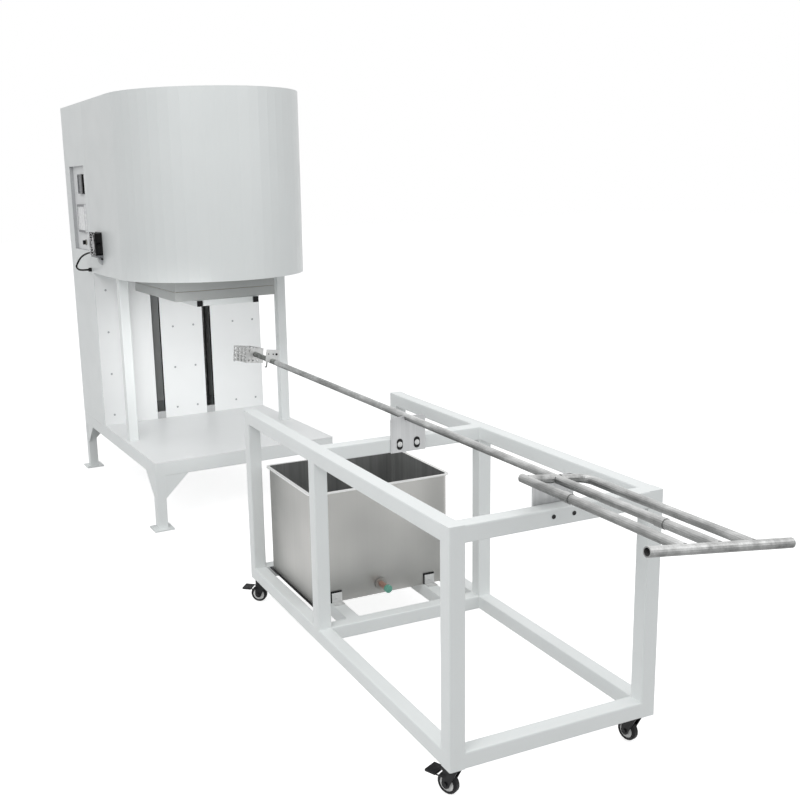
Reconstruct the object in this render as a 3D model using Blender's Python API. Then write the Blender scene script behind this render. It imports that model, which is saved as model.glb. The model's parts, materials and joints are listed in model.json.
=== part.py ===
"""Elevator furnace with its quench cart and loading fork. Metres, +Z up, front is -Y."""
import math

import bmesh
import bpy
from mathutils import Matrix, Vector

for old in list(bpy.data.objects):
    bpy.data.objects.remove(old, do_unlink=True)

# Shared clearances and stock sizes
GAP = 0.0003
OVERRUN = 0.012
RUN_CLEARANCE = 0.001
SHEET = 0.002
TUBE = 0.05
TUBE_WALL = 0.003
TUBE_ROUND = 0.004
FINE_ROUND = 0.0015

# Table
TABLE_W = 0.98
TABLE_D = 1.42
TABLE_TOP = 0.348
TABLE_PLATE = 0.006
TABLE_RAIL_H = 0.067
BEARER_Y = 0.915
FOOT_T = 0.008
FOOT_OVERHANG = 0.025
GUSSET_T = 0.006
GUSSET_RUN = 0.12
GUSSET_DROP = 0.115
GUSSET_INSET = 0.002
WELD = 0.012

# Cabinet and its front panels
WALL_Y = 0.937
CABINET_TOP = 2.124
SLOT_W = 0.05
SLOT_X = 0.152
SLOT_BOTTOM = 0.389
PANEL_TOP = 1.29
PANEL_FLANGE = 0.022
SILL_T = 0.003
SCREW_COLUMNS = (-0.43, -0.313, -0.054, 0.07, 0.315, 0.441)
SCREW_ROWS = (0.405, 0.642, 0.88, 1.116)
SCREW_R = 0.006
SCREW_H = 0.003

# Posts, casing and heating chamber
POST_INSET = 0.02
POST_Y = 0.50
POST_TOP = 2.06
CASING_BOTTOM = 1.216
CASING_ARC_Y = 0.408
CASING_FLOOR_LIFT = 0.012
CHAMBER_W = 0.54
CHAMBER_FRONT = 0.19
CHAMBER_BACK = 0.9
CHAMBER_TOP = 1.72
LINING_T = 0.11
CAVITY_H = 0.4
ELEMENT_R = 0.007
ELEMENT_STANDOFF = 0.012
ELEMENT_PITCH = 0.075
THERMO_R = 0.006
THERMO_DROP = 0.12
THERMO_HEAD_R = 0.028
THERMO_HEAD_H = 0.05

# Lift
ARM = 0.03
ARM_WALL = 0.0025
ARM_ROUND = 0.002
ARM_FRONT = 0.17
ARM_CAP_T = 0.005
ARM_CROSS_SETBACK = 0.012
HEARTH_BOTTOM = 1.1053
HEARTH_TRAY_H = 0.0457
HEARTH_SEAM = 0.002
PLUG_CLEARANCE = 0.01
PLUG_RISE = 0.05
CARRIAGE_Y = 1.03
CARRIAGE_T = 0.01
CARRIAGE_HALF = 0.22
CARRIAGE_BOTTOM = 1.06
CARRIAGE_TOP = 1.74
GUIDE_X = 0.185
GUIDE_Y = 1.085
GUIDE_R = 0.0125
BLOCK_W = 0.06
BLOCK_D = 0.07
BLOCK_H = 0.08
BLOCK_INSET = 0.02
CYLINDER_Y = 1.095
CYLINDER_R = 0.03
CYLINDER_TOP = 1.02
CYLINDER_FLOOR = 0.018
ROD_R = 0.015
ROD_BOTTOM = 0.99
LUG_HALF = 0.04
LUG_D = 0.09
LUG_T = 0.014

# Control recess in the left side
RECESS_FRONT = 0.985
RECESS_BACK = 1.31
RECESS_BOTTOM = 1.332
RECESS_TOP = 1.797
RECESS_DEPTH = 0.02
CONTROLLER_FRONT = 1.055
CONTROLLER_BACK = 1.165
CONTROLLER_BOTTOM = 1.643
CONTROLLER_TOP = 1.75
CONTROLLER_OUT = 0.014
CONTROLLER_STRIP = 0.022
CONTROLLER_LIP = 0.006
RECORDER_FRONT = 1.07
RECORDER_BACK = 1.23
RECORDER_BOTTOM = 1.43
RECORDER_TOP = 1.585
RECORDER_OUT = 0.012
RECORDER_RIM = 0.012
SCREEN_SINK = 0.004
SELECTOR_Y = 1.12
SELECTOR_Z = 1.375
SELECTOR_RING_R = 0.016
SELECTOR_RING_OUT = 0.006
SELECTOR_KNOB_R = 0.0125
SELECTOR_KNOB_OUT = 0.02
SELECTOR_GRIP_W = 0.007
SELECTOR_GRIP_L = 0.024

# Fan on the casing's left side
FAN_SIZE = 0.12
FAN_DEPTH = 0.038
FAN_Y = 0.75
FAN_Z = 1.385
FAN_DUCT_R = 0.0565
FAN_ROUND = 0.006
FAN_WAIST = 0.004
FAN_FLANGE = 0.005
FAN_HUB_R = 0.024
FAN_SPIDER_T = 0.004
FAN_STRUT_W = 0.006
FAN_BLADE_T = 0.0016
FAN_BLADE_TIP = 0.054
FAN_BLADE_CHORD = 0.024
FAN_HOLE_PITCH = 0.105
FAN_SCREW_R = 0.0035
GUARD_WIRE = 0.0011
GUARD_RINGS = (0.014, 0.028, 0.042, 0.056)
GUARD_STANDOFF = 0.004
LEAD_R = 0.005
LEAD_START_X = 0.022
LEAD_START_Z = 1.338
GLAND_Y = 0.972
GLAND_Z = 1.232
GLAND_R = 0.011
GLAND_OUT = 0.016

# Cart
CART_L = 1.6
CART_W = 0.7
CART_TOP = 0.8
CART_UNDER = 0.1
CART_MID = 0.655
CART_AT_U = 1.0302
CART_AT_W = 0.0727
CART_YAW_DEG = -92.93
SUPPORT_Y = (0.13, 0.52)
TANK_FRONT = 0.054
TANK_BACK = 0.52
TANK_NEAR = 0.058
TANK_FAR = 0.642
TANK_TOP = 0.578
TANK_WALL = 0.002
TANK_RIM = 0.012
TANK_RIM_T = 0.004
TANK_ROUND = 0.014
DRAIN_Y = 0.34
DRAIN_Z = 0.19
DRAIN_FLANGE_R = 0.024
DRAIN_FLANGE_T = 0.006
DRAIN_PIPE_R = 0.011
DRAIN_PIPE_L = 0.05
DRAIN_NUT_R = 0.015
DRAIN_NUT_L = 0.012
BRACKET_LEG = 0.032
BRACKET_W = 0.03
BRACKET_T = 0.003
BOLT_R = 0.004
BOLT_HEAD_R = 0.0065
BOLT_HEAD_H = 0.004
SADDLE_HALF = 0.0675
SADDLE_BOTTOM = 0.749
SADDLE_TOP = 0.875
SADDLE_T = 0.005
SADDLE_CORNER = 0.012
SADDLE_SLOT_Y = 0.0335
SADDLE_SLOT_Z = 0.778
SADDLE_SLOT_HALF = 0.009
SADDLE_SLOT_R = 0.0042

# Casters
CASTER_INSET = 0.04
CASTER_PLATE = 0.062
CASTER_PLATE_T = 0.003
CASTER_RACE_R = 0.021
CASTER_RACE_T = 0.006
CASTER_CROWN_T = 0.004
CASTER_LEG_T = 0.003
CASTER_LEG_W = 0.026
CASTER_TRAIL = 0.022
WHEEL_R = 0.0325
WHEEL_W = 0.024
WHEEL_TREAD_ROUND = 0.005
WHEEL_HUB_R = 0.011
WHEEL_DISH_R = 0.024
WHEEL_DISH = 0.004
AXLE_R = 0.004
PEDAL_W = 0.03
PEDAL_L = 0.036
PEDAL_T = 0.006
PEDAL_REACH = 0.016
PEDAL_LIFT = 0.006

# Loading fork
FORK_Y = 0.358
FORK_Z = 0.87
FORK_ROLL_DEG = -7.0
ROD_TUBE_R = 0.0125
ROD_FRONT = -0.56
GRIP_X = 2.165
GRIP_HALF = 0.21
SIDE_TUBE_OFFSET = 0.1
LEFT_TUBE_START = 1.545
ELBOW_R = 0.035
ENTRY_SHARE = 0.6
GRIP_WALL = 0.0028
FORK_WALL = 0.0018
COLLAR_R = 0.0142
COLLAR_L = 0.03
LEFT_COLLAR_X = 1.73
CENTRE_JOINT_X = 1.975
BASKET_FRONT = -1.0
BASKET_BACK = -0.83
BASKET_HALF_W = 0.045
BASKET_HALF_H = 0.042
BASKET_SHEET = 0.0015
BASKET_HOLE_R = 0.0085
BASKET_HOLE_PITCH_X = 0.046
BASKET_HOLE_PITCH_Z = 0.025
BASKET_END_HOLE_R = 0.005
BASKET_OVAL_HALF = 0.014
BASKET_OVAL_R = 0.014
PLATE_BACK = -0.5
PLATE_HALF_H = 0.0275
PLATE_T = 0.004
PLATE_HOLE_R = 0.011
PLATE_HOLE_PITCH = 0.055
HOOK_R = 0.004
HOOK_X = -0.7
HOOK_DROP = 0.02
HOOK_BEND = 0.014

HALF_W = TABLE_W / 2
RAIL_TOP = TABLE_TOP - TABLE_PLATE - GAP
CART_LOW = (CART_UNDER, CART_UNDER + TUBE)
CART_HIGH = (CART_TOP - TUBE, CART_TOP)
FURNACE_LEFT = -HALF_W - FAN_DEPTH - GUARD_STANDOFF - 2 * GUARD_WIRE - GAP
FURNACE_RIGHT = HALF_W + FOOT_OVERHANG
FURNACE_BACK = TABLE_D + FOOT_OVERHANG
CART_YAW = math.radians(CART_YAW_DEG)
FORK_ROLL = math.radians(FORK_ROLL_DEG)
FRONT_X = -math.sin(CART_YAW)
FRONT_Y = -math.cos(CART_YAW)
GRIP_LEAN = abs(FRONT_Y * math.cos(FORK_ROLL))
GRIP_REACH = GRIP_HALF * GRIP_LEAN + ROD_TUBE_R * math.sqrt(1 - GRIP_LEAN ** 2)
SET_FRONT = CART_AT_U + FRONT_X * GRIP_X + FRONT_Y * FORK_Y + GRIP_REACH
SHIFT_X = -(FURNACE_LEFT + FURNACE_RIGHT) / 2
SHIFT_Y = (SET_FRONT - FURNACE_BACK) / 2

PLACE = {
    "x": lambda a, b, h: (h, a, b),
    "y": lambda a, b, h: (a, h, b),
    "z": lambda a, b, h: (a, b, h),
}


def rounded(a0, a1, b0, b1, radius, steps=2):
    """A rectangle with round corners, as a closed profile."""
    if not radius:
        return [(a1, b0), (a1, b1), (a0, b1), (a0, b0)]
    points = []
    corners = ((a1 - radius, b1 - radius), (a0 + radius, b1 - radius))
    corners += ((a0 + radius, b0 + radius), (a1 - radius, b0 + radius))
    for turn, (a, b) in enumerate(corners):
        for step in range(steps + 1):
            angle = math.radians(90 * turn + 90 * step / steps)
            points.append((a + radius * math.cos(angle), b + radius * math.sin(angle)))
    return points


def circle(a, b, radius, sides=16):
    turns = [2 * math.pi * (step + 0.5) / sides for step in range(sides)]
    return [(a + radius * math.cos(t), b + radius * math.sin(t)) for t in turns]


def skin(bm, axis, sections, loop=False):
    """Join profiles at their heights. A loop has no end faces, as on an open tube."""
    rings = []
    for profile, height in sections:
        rings.append([bm.verts.new(PLACE[axis](a, b, height)) for a, b in profile])
    pairs = list(zip(rings, rings[1:]))
    if loop:
        pairs.append((rings[-1], rings[0]))
    for low, high in pairs:
        for step in range(len(low)):
            after = (step + 1) % len(low)
            bm.faces.new((low[step], low[after], high[after], high[step]))
    if not loop:
        bm.faces.new(rings[0])
        bm.faces.new(rings[-1])


def box(bm, x, y, z, radius=0, along="z"):
    """A solid bar or block between pairs of limits, its long edges rounded."""
    spans = {"x": (y, z, x), "y": (x, z, y), "z": (x, y, z)}
    a, b, h = spans[along]
    profile = rounded(a[0], a[1], b[0], b[1], radius)
    skin(bm, along, [(profile, h[0]), (profile, h[1])])


def square_tube(bm, x, y, z, along, wall=TUBE_WALL, radius=TUBE_ROUND, closed=None):
    """A hollow bar. closed names the limit that has an end wall."""
    spans = {"x": (y, z, x), "y": (x, z, y), "z": (x, y, z)}
    a, b, h = spans[along]
    outer = rounded(a[0], a[1], b[0], b[1], radius)
    bore = rounded(a[0] + wall, a[1] - wall, b[0] + wall, b[1] - wall, radius / 2)
    low, high = h
    if closed == "low":
        skin(bm, along, [(bore, low + wall), (bore, high), (outer, high), (outer, low)])
    elif closed == "high":
        skin(bm, along, [(bore, high - wall), (bore, low), (outer, low), (outer, high)])
    else:
        skin(bm, along, [(outer, low), (outer, high), (bore, high), (bore, low)], loop=True)


def turned(bm, axis, a, b, stations, sides=16, loop=False):
    """A turned piece about an axis through (a, b): stations are (radius, height)."""
    skin(bm, axis, [(circle(a, b, radius, sides), h) for radius, h in stations], loop)


def pipe(bm, axis, a, b, radius, wall, low, high, sides=16):
    bore = radius - wall
    turned(bm, axis, a, b, [(radius, low), (radius, high), (bore, high), (bore, low)], sides, True)


def prism(bm, axis, profile, low, high):
    skin(bm, axis, [(profile, low), (profile, high)])


def empty(name, parent=None, location=(0, 0, 0), turn=None):
    holder = bpy.data.objects.new(name, None)
    bpy.context.scene.collection.objects.link(holder)
    holder.parent = parent
    holder.location = location
    if turn:
        holder.rotation_euler = turn
    return holder


def paint(name, color, metallic, roughness):
    material = bpy.data.materials.new(name)
    material.use_nodes = True
    shader = material.node_tree.nodes["Principled BSDF"]
    shader.inputs["Base Color"].default_value = (*color, 1.0)
    shader.inputs["Metallic"].default_value = metallic
    shader.inputs["Roughness"].default_value = roughness
    return material


PAINTS = {
    "coat": ((0.83, 0.85, 0.84), 0.0, 0.45),
    "panel": ((0.9, 0.91, 0.9), 0.0, 0.4),
    "zinc": ((0.68, 0.69, 0.7), 0.9, 0.35),
    "steel": ((0.72, 0.72, 0.71), 1.0, 0.28),
    "chrome": ((0.85, 0.85, 0.86), 1.0, 0.12),
    "black": ((0.02, 0.02, 0.022), 0.0, 0.4),
    "fibre": ((0.88, 0.86, 0.8), 0.0, 0.9),
    "brick": ((0.78, 0.7, 0.58), 0.0, 0.85),
    "grey": ((0.45, 0.47, 0.48), 0.0, 0.45),
    "screen": ((0.82, 0.84, 0.84), 0.0, 0.25),
    "brass": ((0.7, 0.5, 0.24), 1.0, 0.3),
    "element": ((0.4, 0.3, 0.26), 0.2, 0.6),
}


def finish(name, bm, kind, parent, location=(0, 0, 0), turn=None, smooth_deg=40):
    """Turn a bmesh into a named node with its own material."""
    bmesh.ops.recalc_face_normals(bm, faces=bm.faces)
    limit = math.radians(smooth_deg)
    for face in bm.faces:
        face.smooth = True
    for edge in bm.edges:
        edge.smooth = edge.calc_face_angle(math.pi) < limit
    mesh = bpy.data.meshes.new(name)
    bm.to_mesh(mesh)
    bm.free()
    node = bpy.data.objects.new(name, mesh)
    bpy.context.scene.collection.objects.link(node)
    node.parent = parent
    node.location = location
    if turn:
        node.rotation_euler = turn
    mesh.materials.append(paint(name, *PAINTS[kind]))
    return node


def cut(node, bm, name, operation="DIFFERENCE", solver="EXACT"):
    """Cut or join a hidden shape, held in the node's own frame."""
    bmesh.ops.recalc_face_normals(bm, faces=bm.faces)
    mesh = bpy.data.meshes.new(name)
    bm.to_mesh(mesh)
    bm.free()
    cutter = bpy.data.objects.new(name, mesh)
    bpy.context.scene.collection.objects.link(cutter)
    cutter.parent = node.parent
    cutter.location = node.location
    cutter.rotation_euler = node.rotation_euler
    cutter.hide_render = True
    cutter.display_type = "WIRE"
    modifier = node.modifiers.new(name, "BOOLEAN")
    modifier.operation = operation
    modifier.solver = solver
    modifier.object = cutter


def weld(node, name, build, *values):
    """Join the shapes that build makes to the node."""
    bm = bmesh.new()
    build(bm, *values)
    cut(node, bm, name, "UNION")


def both(value):
    return (-value, value)


FURNACE = empty("furnace_frame", None, (SHIFT_X, SHIFT_Y, 0))
CART = empty("cart_frame_axis", FURNACE, (CART_AT_W - HALF_W, -CART_AT_U, 0), (0, 0, CART_YAW))
FORK = empty("fork_axis", CART, (0, FORK_Y, FORK_Z), (FORK_ROLL, 0, 0))


def spans_from(start, size):
    return (start, start + size)


def table_legs(bm):
    for x in ((-HALF_W, -HALF_W + TUBE), (HALF_W - TUBE, HALF_W)):
        for y in ((0, TUBE), (TABLE_D - TUBE, TABLE_D)):
            box(bm, x, y, (FOOT_T / 2, RAIL_TOP), TUBE_ROUND)


def foot_plates(bm):
    reach = TUBE / 2 + FOOT_OVERHANG
    for side in (-1, 1):
        x = side * (HALF_W - TUBE / 2)
        for y in (TUBE / 2, TABLE_D - TUBE / 2):
            box(bm, (x - reach, x + reach), (y - reach, y + reach), (0, FOOT_T), FINE_ROUND)


def rails_across(bm):
    z = (RAIL_TOP - TABLE_RAIL_H, RAIL_TOP)
    for y in ((0, TUBE), (TABLE_D - TUBE, TABLE_D), (BEARER_Y, BEARER_Y + TUBE)):
        box(bm, both(HALF_W - WELD), y, z, TUBE_ROUND, "x")


def rails_along(bm):
    z = (RAIL_TOP - TABLE_RAIL_H, RAIL_TOP)
    for x in ((-HALF_W, -HALF_W + TUBE), (HALF_W - TUBE, HALF_W)):
        box(bm, x, (WELD, TABLE_D - WELD), z, TUBE_ROUND, "y")


def gusset(start, way, top):
    """A triangle under a rail, run into the rail and the leg by the weld."""
    back = start - way * WELD
    rise = top + WELD
    tip = start + way * GUSSET_RUN
    return [(back, rise), (tip, rise), (tip, top), (start, top - GUSSET_DROP), (back, top - GUSSET_DROP)]


def gussets_front_back(bm):
    top = RAIL_TOP - TABLE_RAIL_H
    for side in (-1, 1):
        face = gusset(side * (HALF_W - TUBE), -side, top)
        for y in (GUSSET_INSET, TABLE_D - GUSSET_T - GUSSET_INSET):
            prism(bm, "y", face, y, y + GUSSET_T)


def gussets_sides(bm):
    top = RAIL_TOP - TABLE_RAIL_H
    for face in (gusset(TUBE, 1, top), gusset(TABLE_D - TUBE, -1, top)):
        for x in (-HALF_W + GUSSET_INSET, HALF_W - GUSSET_T - GUSSET_INSET):
            prism(bm, "x", face, x, x + GUSSET_T)


def build_table():
    bm = bmesh.new()
    table_legs(bm)
    frame = finish("table_frame", bm, "coat", FURNACE)
    weld(frame, "weld_feet", foot_plates)
    weld(frame, "weld_rails_across", rails_across)
    weld(frame, "weld_rails_along", rails_along)
    weld(frame, "weld_gussets_front", gussets_front_back)
    weld(frame, "weld_gussets_side", gussets_sides)
    bm = bmesh.new()
    box(bm, both(HALF_W), (0, TABLE_D), (TABLE_TOP - TABLE_PLATE, TABLE_TOP), FINE_ROUND)
    finish("table_plate", bm, "panel", FURNACE)


def build_cabinet():
    """A sheet box: its inside runs out through the front below the upper sheet."""
    low = TABLE_TOP + GAP
    bm = bmesh.new()
    box(bm, both(HALF_W), (WALL_Y, TABLE_D), (low, CABINET_TOP))
    shell = finish("cabinet_shell", bm, "coat", FURNACE)
    bm = bmesh.new()
    inner = both(HALF_W - SHEET)
    back = TABLE_D - SHEET
    box(bm, inner, (WALL_Y + SHEET, back), (low + SHEET, CABINET_TOP - SHEET))
    cut(shell, bm, "cut_inside")
    bm = bmesh.new()
    box(bm, inner, (WALL_Y - OVERRUN, WALL_Y + 2 * PANEL_FLANGE), (low - OVERRUN, PANEL_TOP + GAP))
    cut(shell, bm, "cut_front")
    bm = bmesh.new()
    left = (-HALF_W - OVERRUN, -HALF_W + OVERRUN)
    box(bm, left, (RECESS_FRONT, RECESS_BACK), (RECESS_BOTTOM, RECESS_TOP), TUBE_ROUND, "x")
    cut(shell, bm, "cut_recess")


def front_panel(name, left, right, columns):
    """A sheet folded back at both edges, with its screws' heads."""
    bm = bmesh.new()
    front = WALL_Y
    back = WALL_Y + PANEL_FLANGE
    profile = [(left, back), (left, front), (right, front), (right, back)]
    profile += [(right - SHEET, back), (right - SHEET, front + SHEET)]
    profile += [(left + SHEET, front + SHEET), (left + SHEET, back)]
    prism(bm, "z", profile, TABLE_TOP + GAP, PANEL_TOP)
    panel = finish(name, bm, "panel", FURNACE)
    weld(panel, "heads_" + name, screw_heads, columns)


def screw_heads(bm, columns):
    face = WALL_Y
    rim = SCREW_H / 3
    for x in columns:
        for z in SCREW_ROWS:
            stations = [(SCREW_R - rim, face - SCREW_H)]
            stations += [(SCREW_R, face - SCREW_H + rim), (SCREW_R, face + SHEET / 2)]
            turned(bm, "y", x, z, stations, 8)


def build_panels():
    slot = SLOT_W / 2
    edge = HALF_W - SHEET - GAP
    front_panel("panel_left", -edge, -SLOT_X - slot, SCREW_COLUMNS[:2])
    front_panel("panel_middle", -SLOT_X + slot, SLOT_X - slot, SCREW_COLUMNS[2:4])
    front_panel("panel_right", SLOT_X + slot, edge, SCREW_COLUMNS[4:])
    for name, x in (("left", -SLOT_X), ("right", SLOT_X)):
        across = (x - slot + GAP, x + slot - GAP)
        profile = [(WALL_Y, TABLE_TOP + GAP), (WALL_Y + SILL_T, TABLE_TOP + GAP)]
        profile += [(WALL_Y + SILL_T, SLOT_BOTTOM - SILL_T), (WALL_Y + PANEL_FLANGE, SLOT_BOTTOM - SILL_T)]
        profile += [(WALL_Y + PANEL_FLANGE, SLOT_BOTTOM), (WALL_Y, SLOT_BOTTOM)]
        bm = bmesh.new()
        prism(bm, "x", profile, across[0], across[1])
        finish("slot_sill_" + name, bm, "zinc", FURNACE)


def d_path(radius, back, steps=28):
    """A straight side, a half circle and a straight side, seen from above."""
    points = [(-radius, back)]
    for step in range(steps + 1):
        angle = math.pi * step / steps
        points.append((-radius * math.cos(angle), CASING_ARC_Y - radius * math.sin(angle)))
    points.append((radius, back))
    return points


def build_casing():
    """A bow-fronted hood, open below, and the floor round the chamber."""
    back = WALL_Y - GAP
    outer = d_path(HALF_W, back)
    inner = d_path(HALF_W - SHEET, back - SHEET)
    bm = bmesh.new()
    top = CABINET_TOP - SHEET
    skin(bm, "z", [(inner, top), (inner, CASING_BOTTOM), (outer, CASING_BOTTOM), (outer, CABINET_TOP)])
    shell = finish("casing_shell", bm, "coat", FURNACE)
    bm = bmesh.new()
    turned(bm, "x", FAN_Y, FAN_Z, [(FAN_DUCT_R, -HALF_W - OVERRUN), (FAN_DUCT_R, -HALF_W + OVERRUN)], 48)
    cut(shell, bm, "cut_fan_port")
    bm = bmesh.new()
    low = CASING_BOTTOM + CASING_FLOOR_LIFT
    prism(bm, "z", d_path(HALF_W - SHEET - GAP, back - SHEET - GAP), low, low + SHEET)
    floor = finish("casing_floor", bm, "coat", FURNACE)
    bm = bmesh.new()
    half = CHAMBER_W / 2 + GAP
    box(bm, both(half), (CHAMBER_FRONT - GAP, CHAMBER_BACK + GAP), (low - OVERRUN, low + OVERRUN))
    for side in (-1, 1):
        x = sorted((side * (HALF_W - POST_INSET + GAP), side * (HALF_W - POST_INSET - TUBE - GAP)))
        box(bm, x, (POST_Y - GAP, POST_Y + TUBE + GAP), (low - OVERRUN, low + OVERRUN))
    cut(floor, bm, "cut_chamber_mouth")


def build_posts():
    for name, side in (("left", -1), ("right", 1)):
        bm = bmesh.new()
        x = sorted((side * (HALF_W - POST_INSET), side * (HALF_W - POST_INSET - TUBE)))
        square_tube(bm, x, (POST_Y, POST_Y + TUBE), (TABLE_TOP + GAP, POST_TOP), "z")
        finish("front_post_" + name, bm, "coat", FURNACE)


def open_box(bm, half, front, back, low, high, thick, corner=0):
    """A box of one wall thickness, open below."""
    outer = rounded(-half, half, front, back, corner)
    inner = rounded(-half + thick, half - thick, front + thick, back - thick, corner)
    skin(bm, "z", [(inner, high - thick), (inner, low), (outer, low), (outer, high)])


def build_chamber():
    low = HEARTH_BOTTOM + HEARTH_TRAY_H + HEARTH_SEAM
    half = CHAMBER_W / 2
    bm = bmesh.new()
    open_box(bm, half, CHAMBER_FRONT, CHAMBER_BACK, low, CHAMBER_TOP, SHEET, FINE_ROUND)
    shell = finish("chamber_shell", bm, "coat", FURNACE)
    lag = SHEET + FINE_ROUND
    bm = bmesh.new()
    top = low + CAVITY_H + LINING_T
    open_box(bm, half - lag, CHAMBER_FRONT + lag, CHAMBER_BACK - lag, low, top, LINING_T)
    lining = finish("chamber_lining", bm, "fibre", FURNACE)
    centre = (CHAMBER_FRONT + CHAMBER_BACK) / 2
    hole = THERMO_R + RUN_CLEARANCE
    bm = bmesh.new()
    turned(bm, "z", 0, centre, [(hole, top - LINING_T - OVERRUN), (hole, top + OVERRUN)])
    cut(lining, bm, "cut_thermo_lining")
    bm = bmesh.new()
    turned(bm, "z", 0, centre, [(hole, CHAMBER_TOP - OVERRUN), (hole, CHAMBER_TOP + OVERRUN)])
    cut(shell, bm, "cut_thermo_shell")
    build_elements(top)
    bm = bmesh.new()
    seat = CHAMBER_TOP + GAP
    stations = [(THERMO_R, top - LINING_T - THERMO_DROP), (THERMO_R, seat), (THERMO_HEAD_R, seat)]
    stations += [(THERMO_HEAD_R, seat + THERMO_HEAD_H)]
    turned(bm, "z", 0, centre, stations)
    finish("thermocouple", bm, "steel", FURNACE)


def build_elements(top):
    """A rod on each side wall, wound to and fro in four runs."""
    wall = SHEET + FINE_ROUND + LINING_T + ELEMENT_STANDOFF
    turn = ELEMENT_PITCH / 2
    near = CHAMBER_FRONT + wall + turn
    far = CHAMBER_BACK - wall - turn
    for name, side in (("left", -1), ("right", 1)):
        x = side * (CHAMBER_W / 2 - wall)
        points = []
        for row in range(4):
            z = top - LINING_T - ELEMENT_PITCH * (row + 0.5)
            start, end, way = (near, far, 1) if row % 2 == 0 else (far, near, -1)
            points.append((x, start, z))
            points.append((x, end, z))
            for step in range(1, 4 if row < 3 else 1):
                angle = math.radians(90 - 45 * step)
                points.append((x, end + way * turn * math.cos(angle), z - turn + turn * math.sin(angle)))
        bm = bmesh.new()
        bent_rod(bm, points, ELEMENT_R, 8)
        finish("heating_element_" + name, bm, "element", FURNACE)


def build_lift():
    top = HEARTH_BOTTOM - GAP
    z = (top - ARM, top)
    bm = bmesh.new()
    for side in (-1, 1):
        x = (side * SLOT_X - ARM / 2, side * SLOT_X + ARM / 2)
        square_tube(bm, x, (ARM_FRONT, CARRIAGE_Y - GAP), z, "y", ARM_WALL, ARM_ROUND)
    arms = finish("lift_arms", bm, "coat", FURNACE)
    weld(arms, "weld_arm_cross", arm_cross, z)
    build_arm_caps(z)
    build_hearth()
    build_carriage()


def arm_cross(bm, z):
    cross = ARM_FRONT + ARM_CROSS_SETBACK
    box(bm, both(SLOT_X - ARM / 2 + ARM_WALL / 2), (cross, cross + ARM), z, ARM_ROUND, "x")


def build_arm_caps(z):
    for name, side in (("left", -1), ("right", 1)):
        x = (side * SLOT_X - ARM / 2, side * SLOT_X + ARM / 2)
        head = rounded(x[0], x[1], z[0], z[1], ARM_ROUND)
        face = rounded(x[0] + ARM_ROUND, x[1] - ARM_ROUND, z[0] + ARM_ROUND, z[1] - ARM_ROUND, ARM_ROUND / 2)
        inset = ARM_WALL + GAP
        plug = rounded(x[0] + inset, x[1] - inset, z[0] + inset, z[1] - inset, ARM_ROUND / 2)
        back = ARM_FRONT - GAP
        sections = [(face, back - ARM_CAP_T), (head, back - ARM_CAP_T / 2), (head, back)]
        sections += [(plug, back), (plug, ARM_FRONT + ARM_CROSS_SETBACK - GAP)]
        bm = bmesh.new()
        skin(bm, "y", sections)
        finish("arm_cap_" + name, bm, "black", FURNACE)


def build_hearth():
    half = CHAMBER_W / 2
    top = HEARTH_BOTTOM + HEARTH_TRAY_H
    floor = HEARTH_BOTTOM + SHEET
    bm = bmesh.new()
    outer = rounded(-half, half, CHAMBER_FRONT, CHAMBER_BACK, FINE_ROUND)
    well = rounded(-half + SHEET, half - SHEET, CHAMBER_FRONT + SHEET, CHAMBER_BACK - SHEET, FINE_ROUND)
    skin(bm, "z", [(well, floor), (well, top), (outer, top), (outer, HEARTH_BOTTOM)])
    finish("hearth_tray", bm, "coat", FURNACE)
    lag = SHEET + FINE_ROUND
    base = rounded(-half + lag, half - lag, CHAMBER_FRONT + lag, CHAMBER_BACK - lag, FINE_ROUND)
    mouth = lag + LINING_T + ELEMENT_STANDOFF + ELEMENT_R + PLUG_CLEARANCE
    ends = lag + LINING_T + PLUG_CLEARANCE
    plug = rounded(-half + mouth, half - mouth, CHAMBER_FRONT + ends, CHAMBER_BACK - ends, FINE_ROUND)
    bm = bmesh.new()
    skin(bm, "z", [(base, floor + GAP), (base, top), (plug, top), (plug, top + PLUG_RISE)])
    finish("hearth_plug", bm, "brick", FURNACE)


def build_carriage():
    """The plate that carries both arms, with its lug and four bearing blocks."""
    back = CARRIAGE_Y + CARRIAGE_T
    bm = bmesh.new()
    box(bm, both(CARRIAGE_HALF), (CARRIAGE_Y, back), (CARRIAGE_BOTTOM, CARRIAGE_TOP), TUBE_ROUND, "y")
    carriage = finish("lift_carriage", bm, "grey", FURNACE)
    weld(carriage, "weld_blocks", bearing_blocks, back - SHEET)
    weld(carriage, "weld_lug", carriage_lug, back - SHEET)
    bm = bmesh.new()
    turned(bm, "z", 0, CYLINDER_Y, [(ROD_R, ROD_BOTTOM), (ROD_R, CARRIAGE_TOP - LUG_T - GAP)])
    finish("lift_rod", bm, "chrome", FURNACE)
    build_lift_guides()


def carriage_lug(bm, back):
    box(bm, both(LUG_HALF), (back, back + LUG_D), (CARRIAGE_TOP - LUG_T, CARRIAGE_TOP - SHEET), FINE_ROUND)


def bearing_blocks(bm, back):
    lows = (CARRIAGE_BOTTOM + BLOCK_INSET, CARRIAGE_TOP - BLOCK_INSET - BLOCK_H)
    for side in (-1, 1):
        for low in lows:
            centre = side * GUIDE_X
            x = (centre - BLOCK_W / 2, centre + BLOCK_W / 2)
            bearing_block(bm, x, (back, back + BLOCK_D), (low, low + BLOCK_H), centre)


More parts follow.
